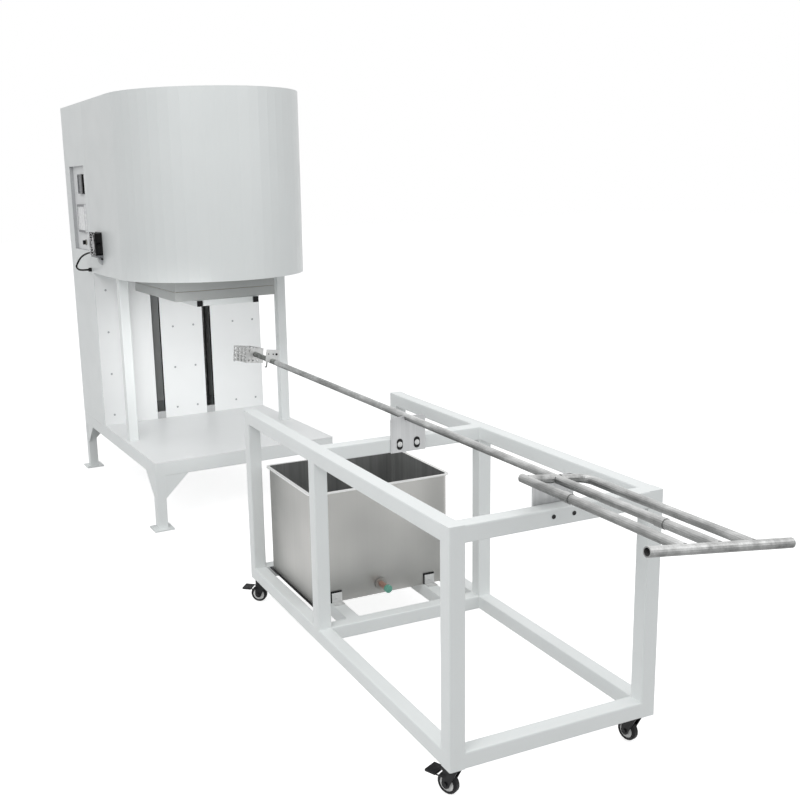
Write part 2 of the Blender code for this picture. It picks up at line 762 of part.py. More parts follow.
def bearing_block(bm, x, y, z, centre):
    """A block with a running bore: a square outline joined to a round one."""
    sides = 16
    bore = circle(centre, GUIDE_Y, GUIDE_R + RUN_CLEARANCE, sides)
    outline = []
    for a, b in bore:
        da = a - centre
        db = b - GUIDE_Y
        reach_x = (x[1] - centre) if da > 0 else (centre - x[0])
        reach_y = (y[1] - GUIDE_Y) if db > 0 else (GUIDE_Y - y[0])
        grow = min(reach_x / abs(da), reach_y / abs(db))
        outline.append((centre + da * grow, GUIDE_Y + db * grow))
    skin(bm, "z", [(outline, z[0]), (outline, z[1]), (bore, z[1]), (bore, z[0])], loop=True)


def build_lift_guides():
    low = TABLE_TOP + SHEET + 2 * GAP
    for name, side in (("left", -1), ("right", 1)):
        bm = bmesh.new()
        turned(bm, "z", side * GUIDE_X, GUIDE_Y, [(GUIDE_R, low), (GUIDE_R, CABINET_TOP - SHEET - GAP)])
        finish("guide_rail_" + name, bm, "steel", FURNACE)
    bm = bmesh.new()
    bore = ROD_R + RUN_CLEARANCE
    stations = [(bore, low + CYLINDER_FLOOR), (bore, CYLINDER_TOP), (CYLINDER_R, CYLINDER_TOP), (CYLINDER_R, low)]
    turned(bm, "z", 0, CYLINDER_Y, stations)
    finish("lift_cylinder", bm, "zinc", FURNACE)


def build_controls():
    left = -HALF_W
    floor = left + RECESS_DEPTH
    lap = SHEET + GAP
    bm = bmesh.new()
    mouth = rounded(RECESS_FRONT + lap, RECESS_BACK - lap, RECESS_BOTTOM + lap, RECESS_TOP - lap, FINE_ROUND)
    outer = rounded(RECESS_FRONT + GAP, RECESS_BACK - GAP, RECESS_BOTTOM + GAP, RECESS_TOP - GAP, TUBE_ROUND)
    skin(bm, "x", [(mouth, floor), (mouth, left), (outer, left), (outer, floor + SHEET)])
    finish("control_panel", bm, "panel", FURNACE)
    face = floor - GAP
    strip = CONTROLLER_FRONT + CONTROLLER_STRIP
    z = (CONTROLLER_BOTTOM, CONTROLLER_TOP)
    front = face - CONTROLLER_OUT
    lip = CONTROLLER_LIP
    outline = rounded(strip + GAP, CONTROLLER_BACK, z[0], z[1], FINE_ROUND)
    window = rounded(strip + lip, CONTROLLER_BACK - lip, z[0] + lip, z[1] - lip, FINE_ROUND)
    bm = bmesh.new()
    skin(bm, "x", [(outline, face), (outline, front), (window, front), (window, front + SCREEN_SINK)])
    finish("temperature_controller", bm, "grey", FURNACE)
    bm = bmesh.new()
    box(bm, (front, face), (CONTROLLER_FRONT, strip), z, FINE_ROUND, "x")
    finish("controller_strip", bm, "black", FURNACE)
    build_recorder(face)
    build_selector(face)


def build_recorder(face):
    y = (RECORDER_FRONT, RECORDER_BACK)
    z = (RECORDER_BOTTOM, RECORDER_TOP)
    rim = RECORDER_RIM
    bm = bmesh.new()
    outer = rounded(y[0], y[1], z[0], z[1], TUBE_ROUND)
    hole = rounded(y[0] + GAP + SHEET, y[1] - rim, z[0] + rim, z[1] - rim, FINE_ROUND)
    front = face - RECORDER_OUT
    skin(bm, "x", [(outer, front), (outer, face), (hole, face), (hole, front)], loop=True)
    finish("recorder_bezel", bm, "grey", FURNACE)
    bm = bmesh.new()
    inner = (y[0] + 2 * GAP + SHEET, y[1] - rim - GAP)
    box(bm, (front + SCREEN_SINK, face), inner, (z[0] + rim + GAP, z[1] - rim - GAP), FINE_ROUND, "x")
    finish("recorder_screen", bm, "screen", FURNACE)


def build_selector(face):
    bm = bmesh.new()
    bore = SELECTOR_KNOB_R + RUN_CLEARANCE
    stations = [(SELECTOR_RING_R, face), (SELECTOR_RING_R, face - SELECTOR_RING_OUT / 2)]
    stations += [(bore, face - SELECTOR_RING_OUT), (bore, face)]
    turned(bm, "x", SELECTOR_Y, SELECTOR_Z, stations, 32, True)
    finish("selector_ring", bm, "zinc", FURNACE)
    bm = bmesh.new()
    shoulder = -SELECTOR_RING_OUT - SCREEN_SINK
    turned(bm, "x", 0, 0, [(SELECTOR_KNOB_R, 0), (SELECTOR_KNOB_R, shoulder)], 32)
    knob = finish("selector_knob", bm, "black", FURNACE, (face - GAP, SELECTOR_Y, SELECTOR_Z))
    weld(knob, "weld_grip", selector_grip, shoulder + SCREEN_SINK / 2)


def selector_grip(bm, back):
    grip = both(SELECTOR_GRIP_W / 2)
    box(bm, (-SELECTOR_KNOB_OUT, back), grip, both(SELECTOR_GRIP_L / 2), FINE_ROUND, "x")


def build_fan():
    left = -HALF_W - GAP
    half = FAN_SIZE / 2
    flange = FAN_FLANGE
    waist = half - FAN_WAIST
    big = rounded(-half, half, -half, half, FAN_ROUND)
    small = rounded(-waist, waist, -waist, waist, FAN_ROUND)
    bm = bmesh.new()
    sections = [(big, 0), (big, -flange), (small, -flange - FAN_WAIST)]
    sections += [(small, -FAN_DEPTH + flange + FAN_WAIST), (big, -FAN_DEPTH + flange), (big, -FAN_DEPTH)]
    skin(bm, "x", sections)
    housing = finish("fan_housing", bm, "black", FURNACE, (left, FAN_Y, FAN_Z))
    bm = bmesh.new()
    turned(bm, "x", 0, 0, [(FAN_DUCT_R, -FAN_DEPTH - OVERRUN), (FAN_DUCT_R, OVERRUN)], 48)
    hole = FAN_HOLE_PITCH / 2
    for y in (-hole, hole):
        for z in (-hole, hole):
            turned(bm, "x", y, z, [(FAN_SCREW_R / 2, -FAN_DEPTH - OVERRUN), (FAN_SCREW_R / 2, OVERRUN)], 12)
    cut(housing, bm, "cut_fan_duct")
    bm = bmesh.new()
    turned(bm, "x", 0, 0, [(FAN_HUB_R, -FAN_SPIDER_T), (FAN_HUB_R, 0)], 32)
    cut(housing, bm, "join_fan_hub", "UNION")
    reach = FAN_DUCT_R + FAN_WAIST / 2
    bm = bmesh.new()
    box(bm, (-FAN_SPIDER_T + GAP, -GAP), both(reach), both(FAN_STRUT_W / 2))
    cut(housing, bm, "join_fan_strut_a", "UNION")
    bm = bmesh.new()
    box(bm, (-FAN_SPIDER_T + GAP, -GAP), both(FAN_STRUT_W / 2), both(reach))
    cut(housing, bm, "join_fan_strut_b", "UNION")
    build_rotor(left)
    build_guard(left - FAN_DEPTH)


def build_rotor(left):
    back = -FAN_SPIDER_T - RUN_CLEARANCE
    front = -FAN_DEPTH + FAN_FLANGE
    bm = bmesh.new()
    turned(bm, "x", 0, 0, [(FAN_HUB_R, back), (FAN_HUB_R, front), (FAN_HUB_R - FAN_FLANGE, front - RUN_CLEARANCE)], 32)
    rotor = finish("fan_rotor", bm, "black", FURNACE, (left, FAN_Y, FAN_Z))
    weld(rotor, "weld_blades", fan_blades, (back + front) / 2)


def fan_blades(bm, middle):
    for blade in range(7):
        fan_blade(bm, middle, Matrix.Rotation(2 * math.pi * blade / 7, 4, "X"))


def fan_blade(bm, middle, spin):
    """A twisted blade: four sections from the hub out to the tip."""
    root = FAN_HUB_R - FAN_WAIST
    rings = []
    for step in range(4):
        share = step / 3
        radius = root + (FAN_BLADE_TIP - root) * share
        pitch = math.radians(38 - 12 * share)
        chord = FAN_BLADE_CHORD * (0.8 + 0.2 * share)
        ring = []
        corners = ((-chord / 2, -FAN_BLADE_T / 2), (chord / 2, -FAN_BLADE_T / 2))
        corners += ((chord / 2, FAN_BLADE_T / 2), (-chord / 2, FAN_BLADE_T / 2))
        for along, across in corners:
            x = middle + along * math.sin(pitch) + across * math.cos(pitch)
            y = along * math.cos(pitch) - across * math.sin(pitch)
            ring.append(bm.verts.new(spin @ Vector((x, y, radius))))
        rings.append(ring)
    for low, high in zip(rings, rings[1:]):
        for step in range(4):
            after = (step + 1) % 4
            bm.faces.new((low[step], low[after], high[after], high[step]))
    bm.faces.new(rings[0])
    bm.faces.new(rings[-1])


def wire_ring(bm, radius, x, wire, sides=28, around=5):
    rings = []
    for step in range(sides):
        turn = 2 * math.pi * step / sides
        ring = []
        for corner in range(around):
            angle = 2 * math.pi * corner / around
            reach = radius + wire * math.cos(angle)
            ring.append(bm.verts.new((x + wire * math.sin(angle), reach * math.cos(turn), reach * math.sin(turn))))
        rings.append(ring)
    for step in range(sides):
        low = rings[step]
        high = rings[(step + 1) % sides]
        for corner in range(around):
            after = (corner + 1) % around
            bm.faces.new((low[corner], low[after], high[after], high[corner]))


def bent_rod(bm, points, radius, sides=10):
    """A round wire or rod swept through points, its ends flat."""
    rings = []
    path = [Vector(point) for point in points]
    side = None
    for step, point in enumerate(path):
        before = path[max(step - 1, 0)]
        after = path[min(step + 1, len(path) - 1)]
        ahead = (after - before).normalized()
        if side is None:
            side = ahead.orthogonal().normalized()
        side = (side - ahead * side.dot(ahead)).normalized()
        other = ahead.cross(side)
        ring = []
        for corner in range(sides):
            angle = 2 * math.pi * corner / sides
            offset = side * math.cos(angle) + other * math.sin(angle)
            ring.append(bm.verts.new(point + offset * radius))
        rings.append(ring)
    for low, high in zip(rings, rings[1:]):
        for step in range(sides):
            after = (step + 1) % sides
            bm.faces.new((low[step], low[after], high[after], high[step]))
    bm.faces.new(rings[0])
    bm.faces.new(rings[-1])


def build_guard(face):
    """Wire rings on four bent wires that end at the housing's corners."""
    bm = bmesh.new()
    spoke_x = -GUARD_STANDOFF
    for radius in GUARD_RINGS:
        wire_ring(bm, radius, spoke_x - GUARD_WIRE, GUARD_WIRE)
    guard = finish("fan_guard", bm, "chrome", FURNACE, (face, FAN_Y, FAN_Z))
    weld(guard, "weld_spokes", guard_spokes, spoke_x)


def guard_spokes(bm, spoke_x):
    corner = FAN_HOLE_PITCH / 2
    inner = (GUARD_RINGS[0] - GUARD_WIRE / 2) / math.sqrt(2)
    knee = corner - GUARD_STANDOFF
    seat = -GUARD_WIRE - GAP
    for y in (-1, 1):
        for z in (-1, 1):
            path = [(spoke_x, y * inner, z * inner), (spoke_x, y * knee, z * knee)]
            path += [(seat, y * corner, z * corner), (seat, y * (corner + GUARD_WIRE), z * (corner + GUARD_WIRE))]
            bent_rod(bm, path, GUARD_WIRE, 6)


def smooth_path(points, steps=4):
    """Points along a Catmull-Rom curve through the given points."""
    path = [Vector(point) for point in points]
    path = [2 * path[0] - path[1]] + path + [2 * path[-1] - path[-2]]
    curve = []
    for a, b, c, d in zip(path, path[1:], path[2:], path[3:]):
        for step in range(steps):
            t = step / steps
            curve.append(0.5 * (2 * b + (c - a) * t + (2 * a - 5 * b + 4 * c - d) * t * t
                                + (3 * b - a - 3 * c + d) * t ** 3))
    curve.append(path[-2])
    return curve


LEAD_SAG = ((-0.003, 0.04, -0.004), (-0.014, 0.1, -0.014), (-0.028, 0.155, -0.032), (-0.038, 0.19, -0.056))
LEAD_TURN = ((-0.052, 0.058, 0.018), (-0.047, 0.032, 0.003), (-0.034, 0.008, 0.0), (-0.02, 0.0, 0.0))


def build_lead():
    start = Vector((-HALF_W - LEAD_START_X, FAN_Y + FAN_SIZE / 2 + GAP, LEAD_START_Z))
    gland = Vector((-HALF_W, GLAND_Y, GLAND_Z))
    end = gland + Vector((-GLAND_OUT - 2 * GAP, 0, 0))
    points = [start]
    points += [start + Vector(offset) for offset in LEAD_SAG]
    points += [gland + Vector(offset) + Vector((-GLAND_OUT, 0, 0)) for offset in LEAD_TURN]
    points.append(end)
    curve = bpy.data.curves.new("fan_lead", "CURVE")
    curve.dimensions = "3D"
    curve.bevel_depth = LEAD_R
    curve.bevel_resolution = 2
    curve.use_fill_caps = True
    path = smooth_path(points)
    spline = curve.splines.new("POLY")
    spline.points.add(len(path) - 1)
    for point, target in zip(path, spline.points):
        target.co = (*point, 1)
    lead = bpy.data.objects.new("fan_lead", curve)
    bpy.context.scene.collection.objects.link(lead)
    lead.parent = FURNACE
    curve.materials.append(paint("fan_lead", *PAINTS["black"]))
    bm = bmesh.new()
    face = -HALF_W - GAP
    stations = [(GLAND_R, face), (GLAND_R, face - GLAND_OUT / 2), (GLAND_R - RUN_CLEARANCE, face - GLAND_OUT)]
    turned(bm, "x", GLAND_Y, GLAND_Z, stations, 24)
    finish("lead_gland", bm, "black", FURNACE)


def cart_posts(bm):
    for y in ((0, TUBE), (CART_W - TUBE, CART_W)):
        for x in ((0, TUBE), (CART_L - TUBE, CART_L)):
            box(bm, x, y, (CART_UNDER, CART_TOP), TUBE_ROUND)
        box(bm, spans_from(CART_MID, TUBE), y, (CART_UNDER + WELD, CART_TOP - WELD), TUBE_ROUND)


def cart_rails_along(bm):
    for y in ((0, TUBE), (CART_W - TUBE, CART_W)):
        for z in (CART_LOW, CART_HIGH):
            box(bm, (WELD, CART_L - WELD), y, z, TUBE_ROUND, "x")


def cart_rails_across(bm):
    mid = spans_from(CART_MID, TUBE)
    end = (CART_L - TUBE, CART_L)
    places = (((0, TUBE), CART_LOW), (mid, CART_LOW), (end, CART_LOW), (mid, CART_HIGH), (end, CART_HIGH))
    for x, z in places:
        box(bm, x, (WELD, CART_W - WELD), z, TUBE_ROUND, "y")


def cart_supports(bm):
    for y in SUPPORT_Y:
        box(bm, (TUBE - WELD, CART_MID + WELD), spans_from(y, TUBE), CART_LOW, TUBE_ROUND, "x")


def caster_plates(bm):
    reach = CASTER_PLATE / 2
    z = (CART_UNDER - CASTER_PLATE_T, CART_UNDER + CASTER_PLATE_T)
    for x in (CASTER_INSET, CART_L - CASTER_INSET):
        for y in (CASTER_INSET, CART_W - CASTER_INSET):
            box(bm, (x - reach, x + reach), (y - reach, y + reach), z, TUBE_ROUND)


def build_cart_frame():
    bm = bmesh.new()
    cart_posts(bm)
    frame = finish("cart_frame", bm, "coat", CART)
    weld(frame, "weld_rails_long", cart_rails_along)
    weld(frame, "weld_rails_cross", cart_rails_across)
    weld(frame, "weld_supports", cart_supports)
    weld(frame, "weld_caster_plates", caster_plates)
    bm = bmesh.new()
    for side in (-1, 1):
        y = FORK_Y + side * SADDLE_SLOT_Y
        turned(bm, "x", y, SADDLE_SLOT_Z, [(BOLT_R, CART_L - OVERRUN), (BOLT_R, CART_L + OVERRUN)], 16)
    cut(frame, bm, "cut_bolt_holes")


def build_tank():
    low = CART_UNDER + TUBE + GAP
    rim = TANK_RIM
    body = (TANK_FRONT + rim, TANK_BACK - rim, TANK_NEAR + rim, TANK_FAR - rim)
    outer = rounded(*body, TANK_ROUND)
    wall = TANK_WALL
    inner = rounded(body[0] + wall, body[1] - wall, body[2] + wall, body[3] - wall, TANK_ROUND - wall)
    lip = rounded(TANK_FRONT, TANK_BACK, TANK_NEAR, TANK_FAR, TANK_ROUND + rim)
    under = TANK_TOP - TANK_RIM_T
    bm = bmesh.new()
    sections = [(inner, low + wall), (inner, TANK_TOP), (lip, TANK_TOP), (lip, under), (outer, under), (outer, low)]
    skin(bm, "z", sections)
    finish("tank", bm, "steel", CART)
    bm = bmesh.new()
    face = TANK_BACK - rim + GAP
    flange = face + DRAIN_FLANGE_T
    stations = [(DRAIN_FLANGE_R, face), (DRAIN_FLANGE_R, flange), (DRAIN_PIPE_R, flange)]
    stations += [(DRAIN_PIPE_R, flange + DRAIN_PIPE_L), (DRAIN_NUT_R, flange + DRAIN_PIPE_L)]
    stations += [(DRAIN_NUT_R, flange + DRAIN_PIPE_L + DRAIN_NUT_L)]
    turned(bm, "x", DRAIN_Y, DRAIN_Z, stations)
    finish("drain_fitting", bm, "brass", CART)


def build_tank_brackets():
    """Angle brackets that hold the tank to its support rails, each with a screw."""
    low = CART_UNDER + TUBE + GAP
    back = TANK_BACK - TANK_RIM + GAP
    profile = [(back, low), (back + BRACKET_LEG, low), (back + BRACKET_LEG, low + BRACKET_T)]
    profile += [(back + BRACKET_T, low + BRACKET_T), (back + BRACKET_T, low + BRACKET_LEG), (back, low + BRACKET_LEG)]
    for name, y in zip(("near", "far"), SUPPORT_Y):
        middle = y + TUBE / 2
        bm = bmesh.new()
        prism(bm, "y", profile, middle - BRACKET_W / 2, middle + BRACKET_W / 2)
        bracket = finish("tank_bracket_" + name, bm, "zinc", CART)
        weld(bracket, "screw_" + name, bracket_screw, back + BRACKET_LEG / 2, middle, low)


def bracket_screw(bm, x, y, low):
    seat = low + BRACKET_T
    stations = [(BOLT_HEAD_R, seat - BRACKET_T / 2), (BOLT_HEAD_R, seat + BOLT_HEAD_H / 2)]
    stations += [(BOLT_HEAD_R - FINE_ROUND, seat + BOLT_HEAD_H)]
    turned(bm, "z", x, y, stations, 16)


def saddle_profile():
    """A plate outline with round top corners and an open notch for the rod."""
    left = FORK_Y - SADDLE_HALF
    right = FORK_Y + SADDLE_HALF
    notch = ROD_TUBE_R + RUN_CLEARANCE
    centre = SADDLE_TOP - SADDLE_CORNER
    points = [(left, SADDLE_BOTTOM), (right, SADDLE_BOTTOM)]
    for step in range(5):
        angle = math.radians(90 * step / 4)
        points.append((right - SADDLE_CORNER * (1 - math.cos(angle)), centre + SADDLE_CORNER * math.sin(angle)))
    points.append((FORK_Y + notch, SADDLE_TOP))
    for step in range(13):
        angle = math.radians(180 * step / 12)
        points.append((FORK_Y + notch * math.cos(angle), FORK_Z - notch * math.sin(angle)))
    points.append((FORK_Y - notch, SADDLE_TOP))
    for step in range(5):
        angle = math.radians(90 * step / 4)
        points.append((left + SADDLE_CORNER * (1 - math.sin(angle)), centre + SADDLE_CORNER * math.cos(angle)))
    return points


def saddle_slot(side):
    """An upright slot for one bolt."""
    points = []
    y = FORK_Y + side * SADDLE_SLOT_Y
    for step in range(12):
        angle = math.radians(30 * step + 15)
        lift = SADDLE_SLOT_HALF if math.sin(angle) > 0 else -SADDLE_SLOT_HALF
        points.append((y + SADDLE_SLOT_R * math.cos(angle), SADDLE_SLOT_Z + lift + SADDLE_SLOT_R * math.sin(angle)))
    return points


def build_saddles():
    """Each saddle's slots are cut, then its bolts' heads are set over them."""
    front = CART_MID + TUBE + GAP
    rear = CART_L - TUBE - GAP - SADDLE_T
    for name, x, head in (("front", front, front + SADDLE_T), ("rear", rear, rear - BOLT_HEAD_H)):
        bm = bmesh.new()
        prism(bm, "x", saddle_profile(), x, x + SADDLE_T)
        saddle = finish("saddle_" + name, bm, "zinc", CART)
        bm = bmesh.new()
        for side in (-1, 1):
            prism(bm, "x", saddle_slot(side), x - OVERRUN, x + SADDLE_T + OVERRUN)
        cut(saddle, bm, "cut_slots_" + name)
        weld(saddle, "bolts_" + name, saddle_bolts, head)


def saddle_bolts(bm, low):
    sink = SADDLE_T / 4
    for side in (-1, 1):
        y = FORK_Y + side * SADDLE_SLOT_Y
        prism(bm, "x", circle(y, SADDLE_SLOT_Z, BOLT_HEAD_R, 6), low - sink, low + BOLT_HEAD_H + sink)


CASTERS = (("near_front", 0, 0, 50, True), ("far_front", 0, 1, 20, False),
           ("near_back", 1, 0, 25, True), ("far_back", 1, 1, 10, False))


def build_casters():
    top = CART_UNDER - CASTER_PLATE_T - GAP
    for name, end, far, turn_deg, braked in CASTERS:
        x = CART_L - CASTER_INSET if end else CASTER_INSET
        y = CART_W - CASTER_INSET if far else CASTER_INSET
        holder = empty("caster_axis_" + name, CART, (x, y, 0), (0, 0, math.radians(turn_deg)))
        build_caster_fork(name, holder, top)
        build_wheel(name, holder)
        if braked:
            build_pedal(name, holder)


def build_caster_fork(name, holder, top):
    """Crown, race, two legs and the axle's nuts; the wheel trails towards -X."""
    crown = top - CASTER_RACE_T
    bm = bmesh.new()
    inner = WHEEL_W / 2 + RUN_CLEARANCE
    outer = inner + CASTER_LEG_T
    back = -CASTER_RACE_R - CASTER_TRAIL / 2
    box(bm, (back, CASTER_RACE_R), both(outer), (crown - CASTER_CROWN_T, crown), FINE_ROUND)
    fork = finish("caster_fork_" + name, bm, "black", holder)
    weld(fork, "weld_race_" + name, caster_race, crown, top)
    weld(fork, "weld_legs_" + name, caster_legs, inner, outer, crown)
    weld(fork, "weld_nuts_" + name, axle_nuts, outer)


def caster_race(bm, crown, top):
    turned(bm, "z", 0, 0, [(CASTER_RACE_R - FINE_ROUND, crown - FINE_ROUND), (CASTER_RACE_R - FINE_ROUND, top)], 20)


def caster_legs(bm, inner, outer, crown):
    half = CASTER_LEG_W / 2
    top = crown - FINE_ROUND
    back = -CASTER_RACE_R - CASTER_TRAIL / 2 + FINE_ROUND
    leg = [(-CASTER_TRAIL + half, WHEEL_R), (CASTER_RACE_R - FINE_ROUND, top), (back, top)]
    leg.append((-CASTER_TRAIL - half, WHEEL_R))
    for step in range(1, 8):
        angle = math.radians(180 + 180 * step / 8)
        leg.append((-CASTER_TRAIL + half * math.cos(angle), WHEEL_R + half * math.sin(angle)))
    for side in (-1, 1):
        low, high = sorted((side * inner, side * outer))
        prism(bm, "y", leg, low, high)


def axle_nuts(bm, outer):
    for side in (-1, 1):
        low, high = sorted((side * (outer - CASTER_LEG_T / 2), side * (outer + BOLT_HEAD_H)))
        turned(bm, "y", -CASTER_TRAIL, WHEEL_R, [(BOLT_HEAD_R, low), (BOLT_HEAD_R, high)], 12)


def build_wheel(name, holder):
    bm = bmesh.new()
    half = WHEEL_W / 2
    bore = AXLE_R
    dish = half - WHEEL_DISH
    tread = WHEEL_R - WHEEL_TREAD_ROUND
    stations = [(bore, -half), (WHEEL_HUB_R, -half), (WHEEL_HUB_R, -dish), (WHEEL_DISH_R, -dish)]
    stations += [(WHEEL_DISH_R, -half), (tread, -half), (WHEEL_R, -half + WHEEL_TREAD_ROUND)]
    stations += [(WHEEL_R, half - WHEEL_TREAD_ROUND), (tread, half), (WHEEL_DISH_R, half)]
    stations += [(WHEEL_DISH_R, dish), (WHEEL_HUB_R, dish), (WHEEL_HUB_R, half), (bore, half)]
    turned(bm, "y", 0, 0, stations, 20, True)
    finish("wheel_" + name, bm, "black", holder, (-CASTER_TRAIL, 0, WHEEL_R))


def build_pedal(name, holder):
    """A tread on two cheeks outside the fork legs."""
    cheek = WHEEL_W / 2 + RUN_CLEARANCE + CASTER_LEG_T + BOLT_HEAD_H + RUN_CLEARANCE
    start = -CASTER_LEG_W / 2 - PEDAL_REACH
    z = (PEDAL_LIFT, PEDAL_LIFT + PEDAL_T)
    bm = bmesh.new()
    box(bm, (start - PEDAL_L, start), both(cheek + PEDAL_T / 2), z, FINE_ROUND)
    lift = WHEEL_R + PEDAL_W / 2
    pedal = finish("brake_pedal_" + name, bm, "black", holder, (-CASTER_TRAIL, 0, lift))
    weld(pedal, "weld_cheeks_" + name, pedal_cheeks, start, cheek, z)


def pedal_cheeks(bm, start, cheek, z):
    for side in (-1, 1):
        low, high = sorted((side * cheek, side * (cheek + PEDAL_T / 3)))
        box(bm, (start - PEDAL_T, 0), (low, high), (z[0] + FINE_ROUND, z[1] - FINE_ROUND / 2))


def build_fork():
    """The rod and the handle that its end plugs into."""
    bm = bmesh.new()
    pipe(bm, "x", 0, 0, ROD_TUBE_R, FORK_WALL, ROD_FRONT, CENTRE_JOINT_X)
    finish("fork_rod", bm, "steel", FORK)
    bm = bmesh.new()
    turned(bm, "y", GRIP_X, 0, [(ROD_TUBE_R, -GRIP_HALF), (ROD_TUBE_R, GRIP_HALF)])
    handle = finish("fork_handle", bm, "steel", FORK)
    weld(handle, "weld_straight_tubes", handle_straight_tubes)
    weld(handle, "weld_bent_tube", handle_bent_tube)
    weld(handle, "weld_stop_tube", handle_stop_tube)
    weld(handle, "weld_collars", handle_collars)
    bore = ROD_TUBE_R - GRIP_WALL
    bm = bmesh.new()
    turned(bm, "y", GRIP_X, 0, [(bore, -GRIP_HALF - OVERRUN), (bore, GRIP_HALF + OVERRUN)])
    cut(handle, bm, "cut_grip_bore", solver="MANIFOLD")


def handle_straight_tubes(bm):
    end = GRIP_X - ROD_TUBE_R * ENTRY_SHARE
    pipe(bm, "x", -SIDE_TUBE_OFFSET, 0, ROD_TUBE_R, FORK_WALL, LEFT_TUBE_START, end)
    pipe(bm, "x", 0, 0, ROD_TUBE_R, FORK_WALL, CENTRE_JOINT_X + GAP, end)


def handle_bent_tube(bm):
    """The tube that starts at the rod behind the rear saddle and bends back to the grip."""
    stop = CART_L - TUBE + ROD_TUBE_R
    corner = SIDE_TUBE_OFFSET - ELBOW_R
    points = [(stop, ROD_TUBE_R + GAP, 0)]
    for step in range(9):
        angle = math.radians(90 * step / 8)
        points.append((stop + ELBOW_R * (1 - math.cos(angle)), corner + ELBOW_R * math.sin(angle), 0))
    points.append((GRIP_X - ROD_TUBE_R * ENTRY_SHARE, SIDE_TUBE_OFFSET, 0))
    bent_rod(bm, points, ROD_TUBE_R - GAP, 16)


def handle_stop_tube(bm):
    """The short tube from the left tube to the rod."""
    stop = CART_L - TUBE + ROD_TUBE_R
    near = -SIDE_TUBE_OFFSET + ROD_TUBE_R * ENTRY_SHARE
    turned(bm, "y", stop, 0, [(ROD_TUBE_R - GAP, near), (ROD_TUBE_R - GAP, -ROD_TUBE_R - GAP)])


def handle_collars(bm):
    seat = ROD_TUBE_R - FORK_WALL / 2
    pipe(bm, "x", -SIDE_TUBE_OFFSET, 0, COLLAR_R, COLLAR_R - seat, LEFT_COLLAR_X, LEFT_COLLAR_X + COLLAR_L)
    front = CENTRE_JOINT_X - COLLAR_L / 2
    back = CENTRE_JOINT_X + COLLAR_L / 2
    step = CENTRE_JOINT_X + 2 * GAP
    slide = ROD_TUBE_R + GAP
    stations = [(COLLAR_R, front), (COLLAR_R, back), (seat, back), (seat, step), (slide, step), (slide, front)]
    turned(bm, "x", 0, 0, stations, loop=True)


def build_basket():
    x = (BASKET_FRONT, BASKET_BACK)
    half_w = BASKET_HALF_W
    half_h = BASKET_HALF_H
    wall = BASKET_SHEET
    outer = rounded(x[0], x[1], -half_w, half_w, FINE_ROUND * 2)
    inner = rounded(x[0] + wall, x[1] - wall, -half_w + wall, half_w - wall, FINE_ROUND)
    bm = bmesh.new()
    skin(bm, "z", [(inner, -half_h + wall), (inner, half_h), (outer, half_h), (outer, -half_h)])
    basket = finish("basket", bm, "steel", FORK)
    cut(basket, basket_side_holes(), "cut_basket_sides")
    cut(basket, basket_end_holes(), "cut_basket_ends")


def basket_side_holes():
    bm = bmesh.new()
    centre = (BASKET_FRONT + BASKET_BACK) / 2
    reach = BASKET_HALF_W + OVERRUN
    for column in (-1, 0, 1):
        for row in (-1, 0, 1):
            place = (centre + column * BASKET_HOLE_PITCH_X, row * BASKET_HOLE_PITCH_Z)
            turned(bm, "y", *place, [(BASKET_HOLE_R, -reach), (BASKET_HOLE_R, reach)], 12)
    return bm


def basket_end_holes():
    bm = bmesh.new()
    low = BASKET_FRONT - OVERRUN
    high = BASKET_BACK + OVERRUN
    oval = []
    for step in range(24):
        angle = math.radians(15 * step + 7.5)
        shift = BASKET_OVAL_HALF if math.cos(angle) > 0 else -BASKET_OVAL_HALF
        oval.append((shift + BASKET_OVAL_R * math.cos(angle), BASKET_OVAL_R * math.sin(angle)))
    prism(bm, "x", oval, low, high)
    for column in (-1, 0, 1):
        y = column * BASKET_HOLE_PITCH_Z
        turned(bm, "x", y, -BASKET_HALF_H + BASKET_HOLE_R, [(BASKET_END_HOLE_R, low), (BASKET_END_HOLE_R, high)], 10)
    return bm


def build_bracket():
    """The drilled plate that carries the basket on the rod, and its hook."""
    rise = ROD_TUBE_R + GAP
    z = (rise, rise + 2 * PLATE_HALF_H)
    bm = bmesh.new()
    box(bm, (BASKET_BACK + GAP, PLATE_BACK), both(PLATE_T / 2), z, TUBE_ROUND, "y")
    plate = finish("basket_bracket", bm, "steel", FORK)
    bm = bmesh.new()
    reach = PLATE_T / 2 + OVERRUN
    for step in range(3):
        x = BASKET_BACK + PLATE_HOLE_PITCH * (step + 0.7)
        turned(bm, "y", x, rise + PLATE_HALF_H, [(PLATE_HOLE_R, -reach), (PLATE_HOLE_R, reach)], 16)
    cut(plate, bm, "cut_bracket_holes")
    weld(plate, "weld_hook", bracket_hook, rise)


def bracket_hook(bm, rise):
    points = [(HOOK_X, 0, rise + HOOK_BEND), (HOOK_X, 0, -HOOK_DROP)]
    for step in range(1, 7):
        angle = math.radians(30 * step)
        points.append((HOOK_X - HOOK_BEND * (1 - math.cos(angle)), 0, -HOOK_DROP - HOOK_BEND * math.sin(angle)))
    bent_rod(bm, points, HOOK_R, 8)


build_table()
build_cabinet()
build_panels()
build_casing()
build_posts()
build_chamber()
build_lift()
build_controls()
build_fan()
build_lead()
build_cart_frame()
build_tank()
build_tank_brackets()
build_saddles()
build_casters()
build_fork()
build_basket()
build_bracket()
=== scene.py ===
import json
import math

import bmesh
import bpy
from mathutils import Matrix, Vector


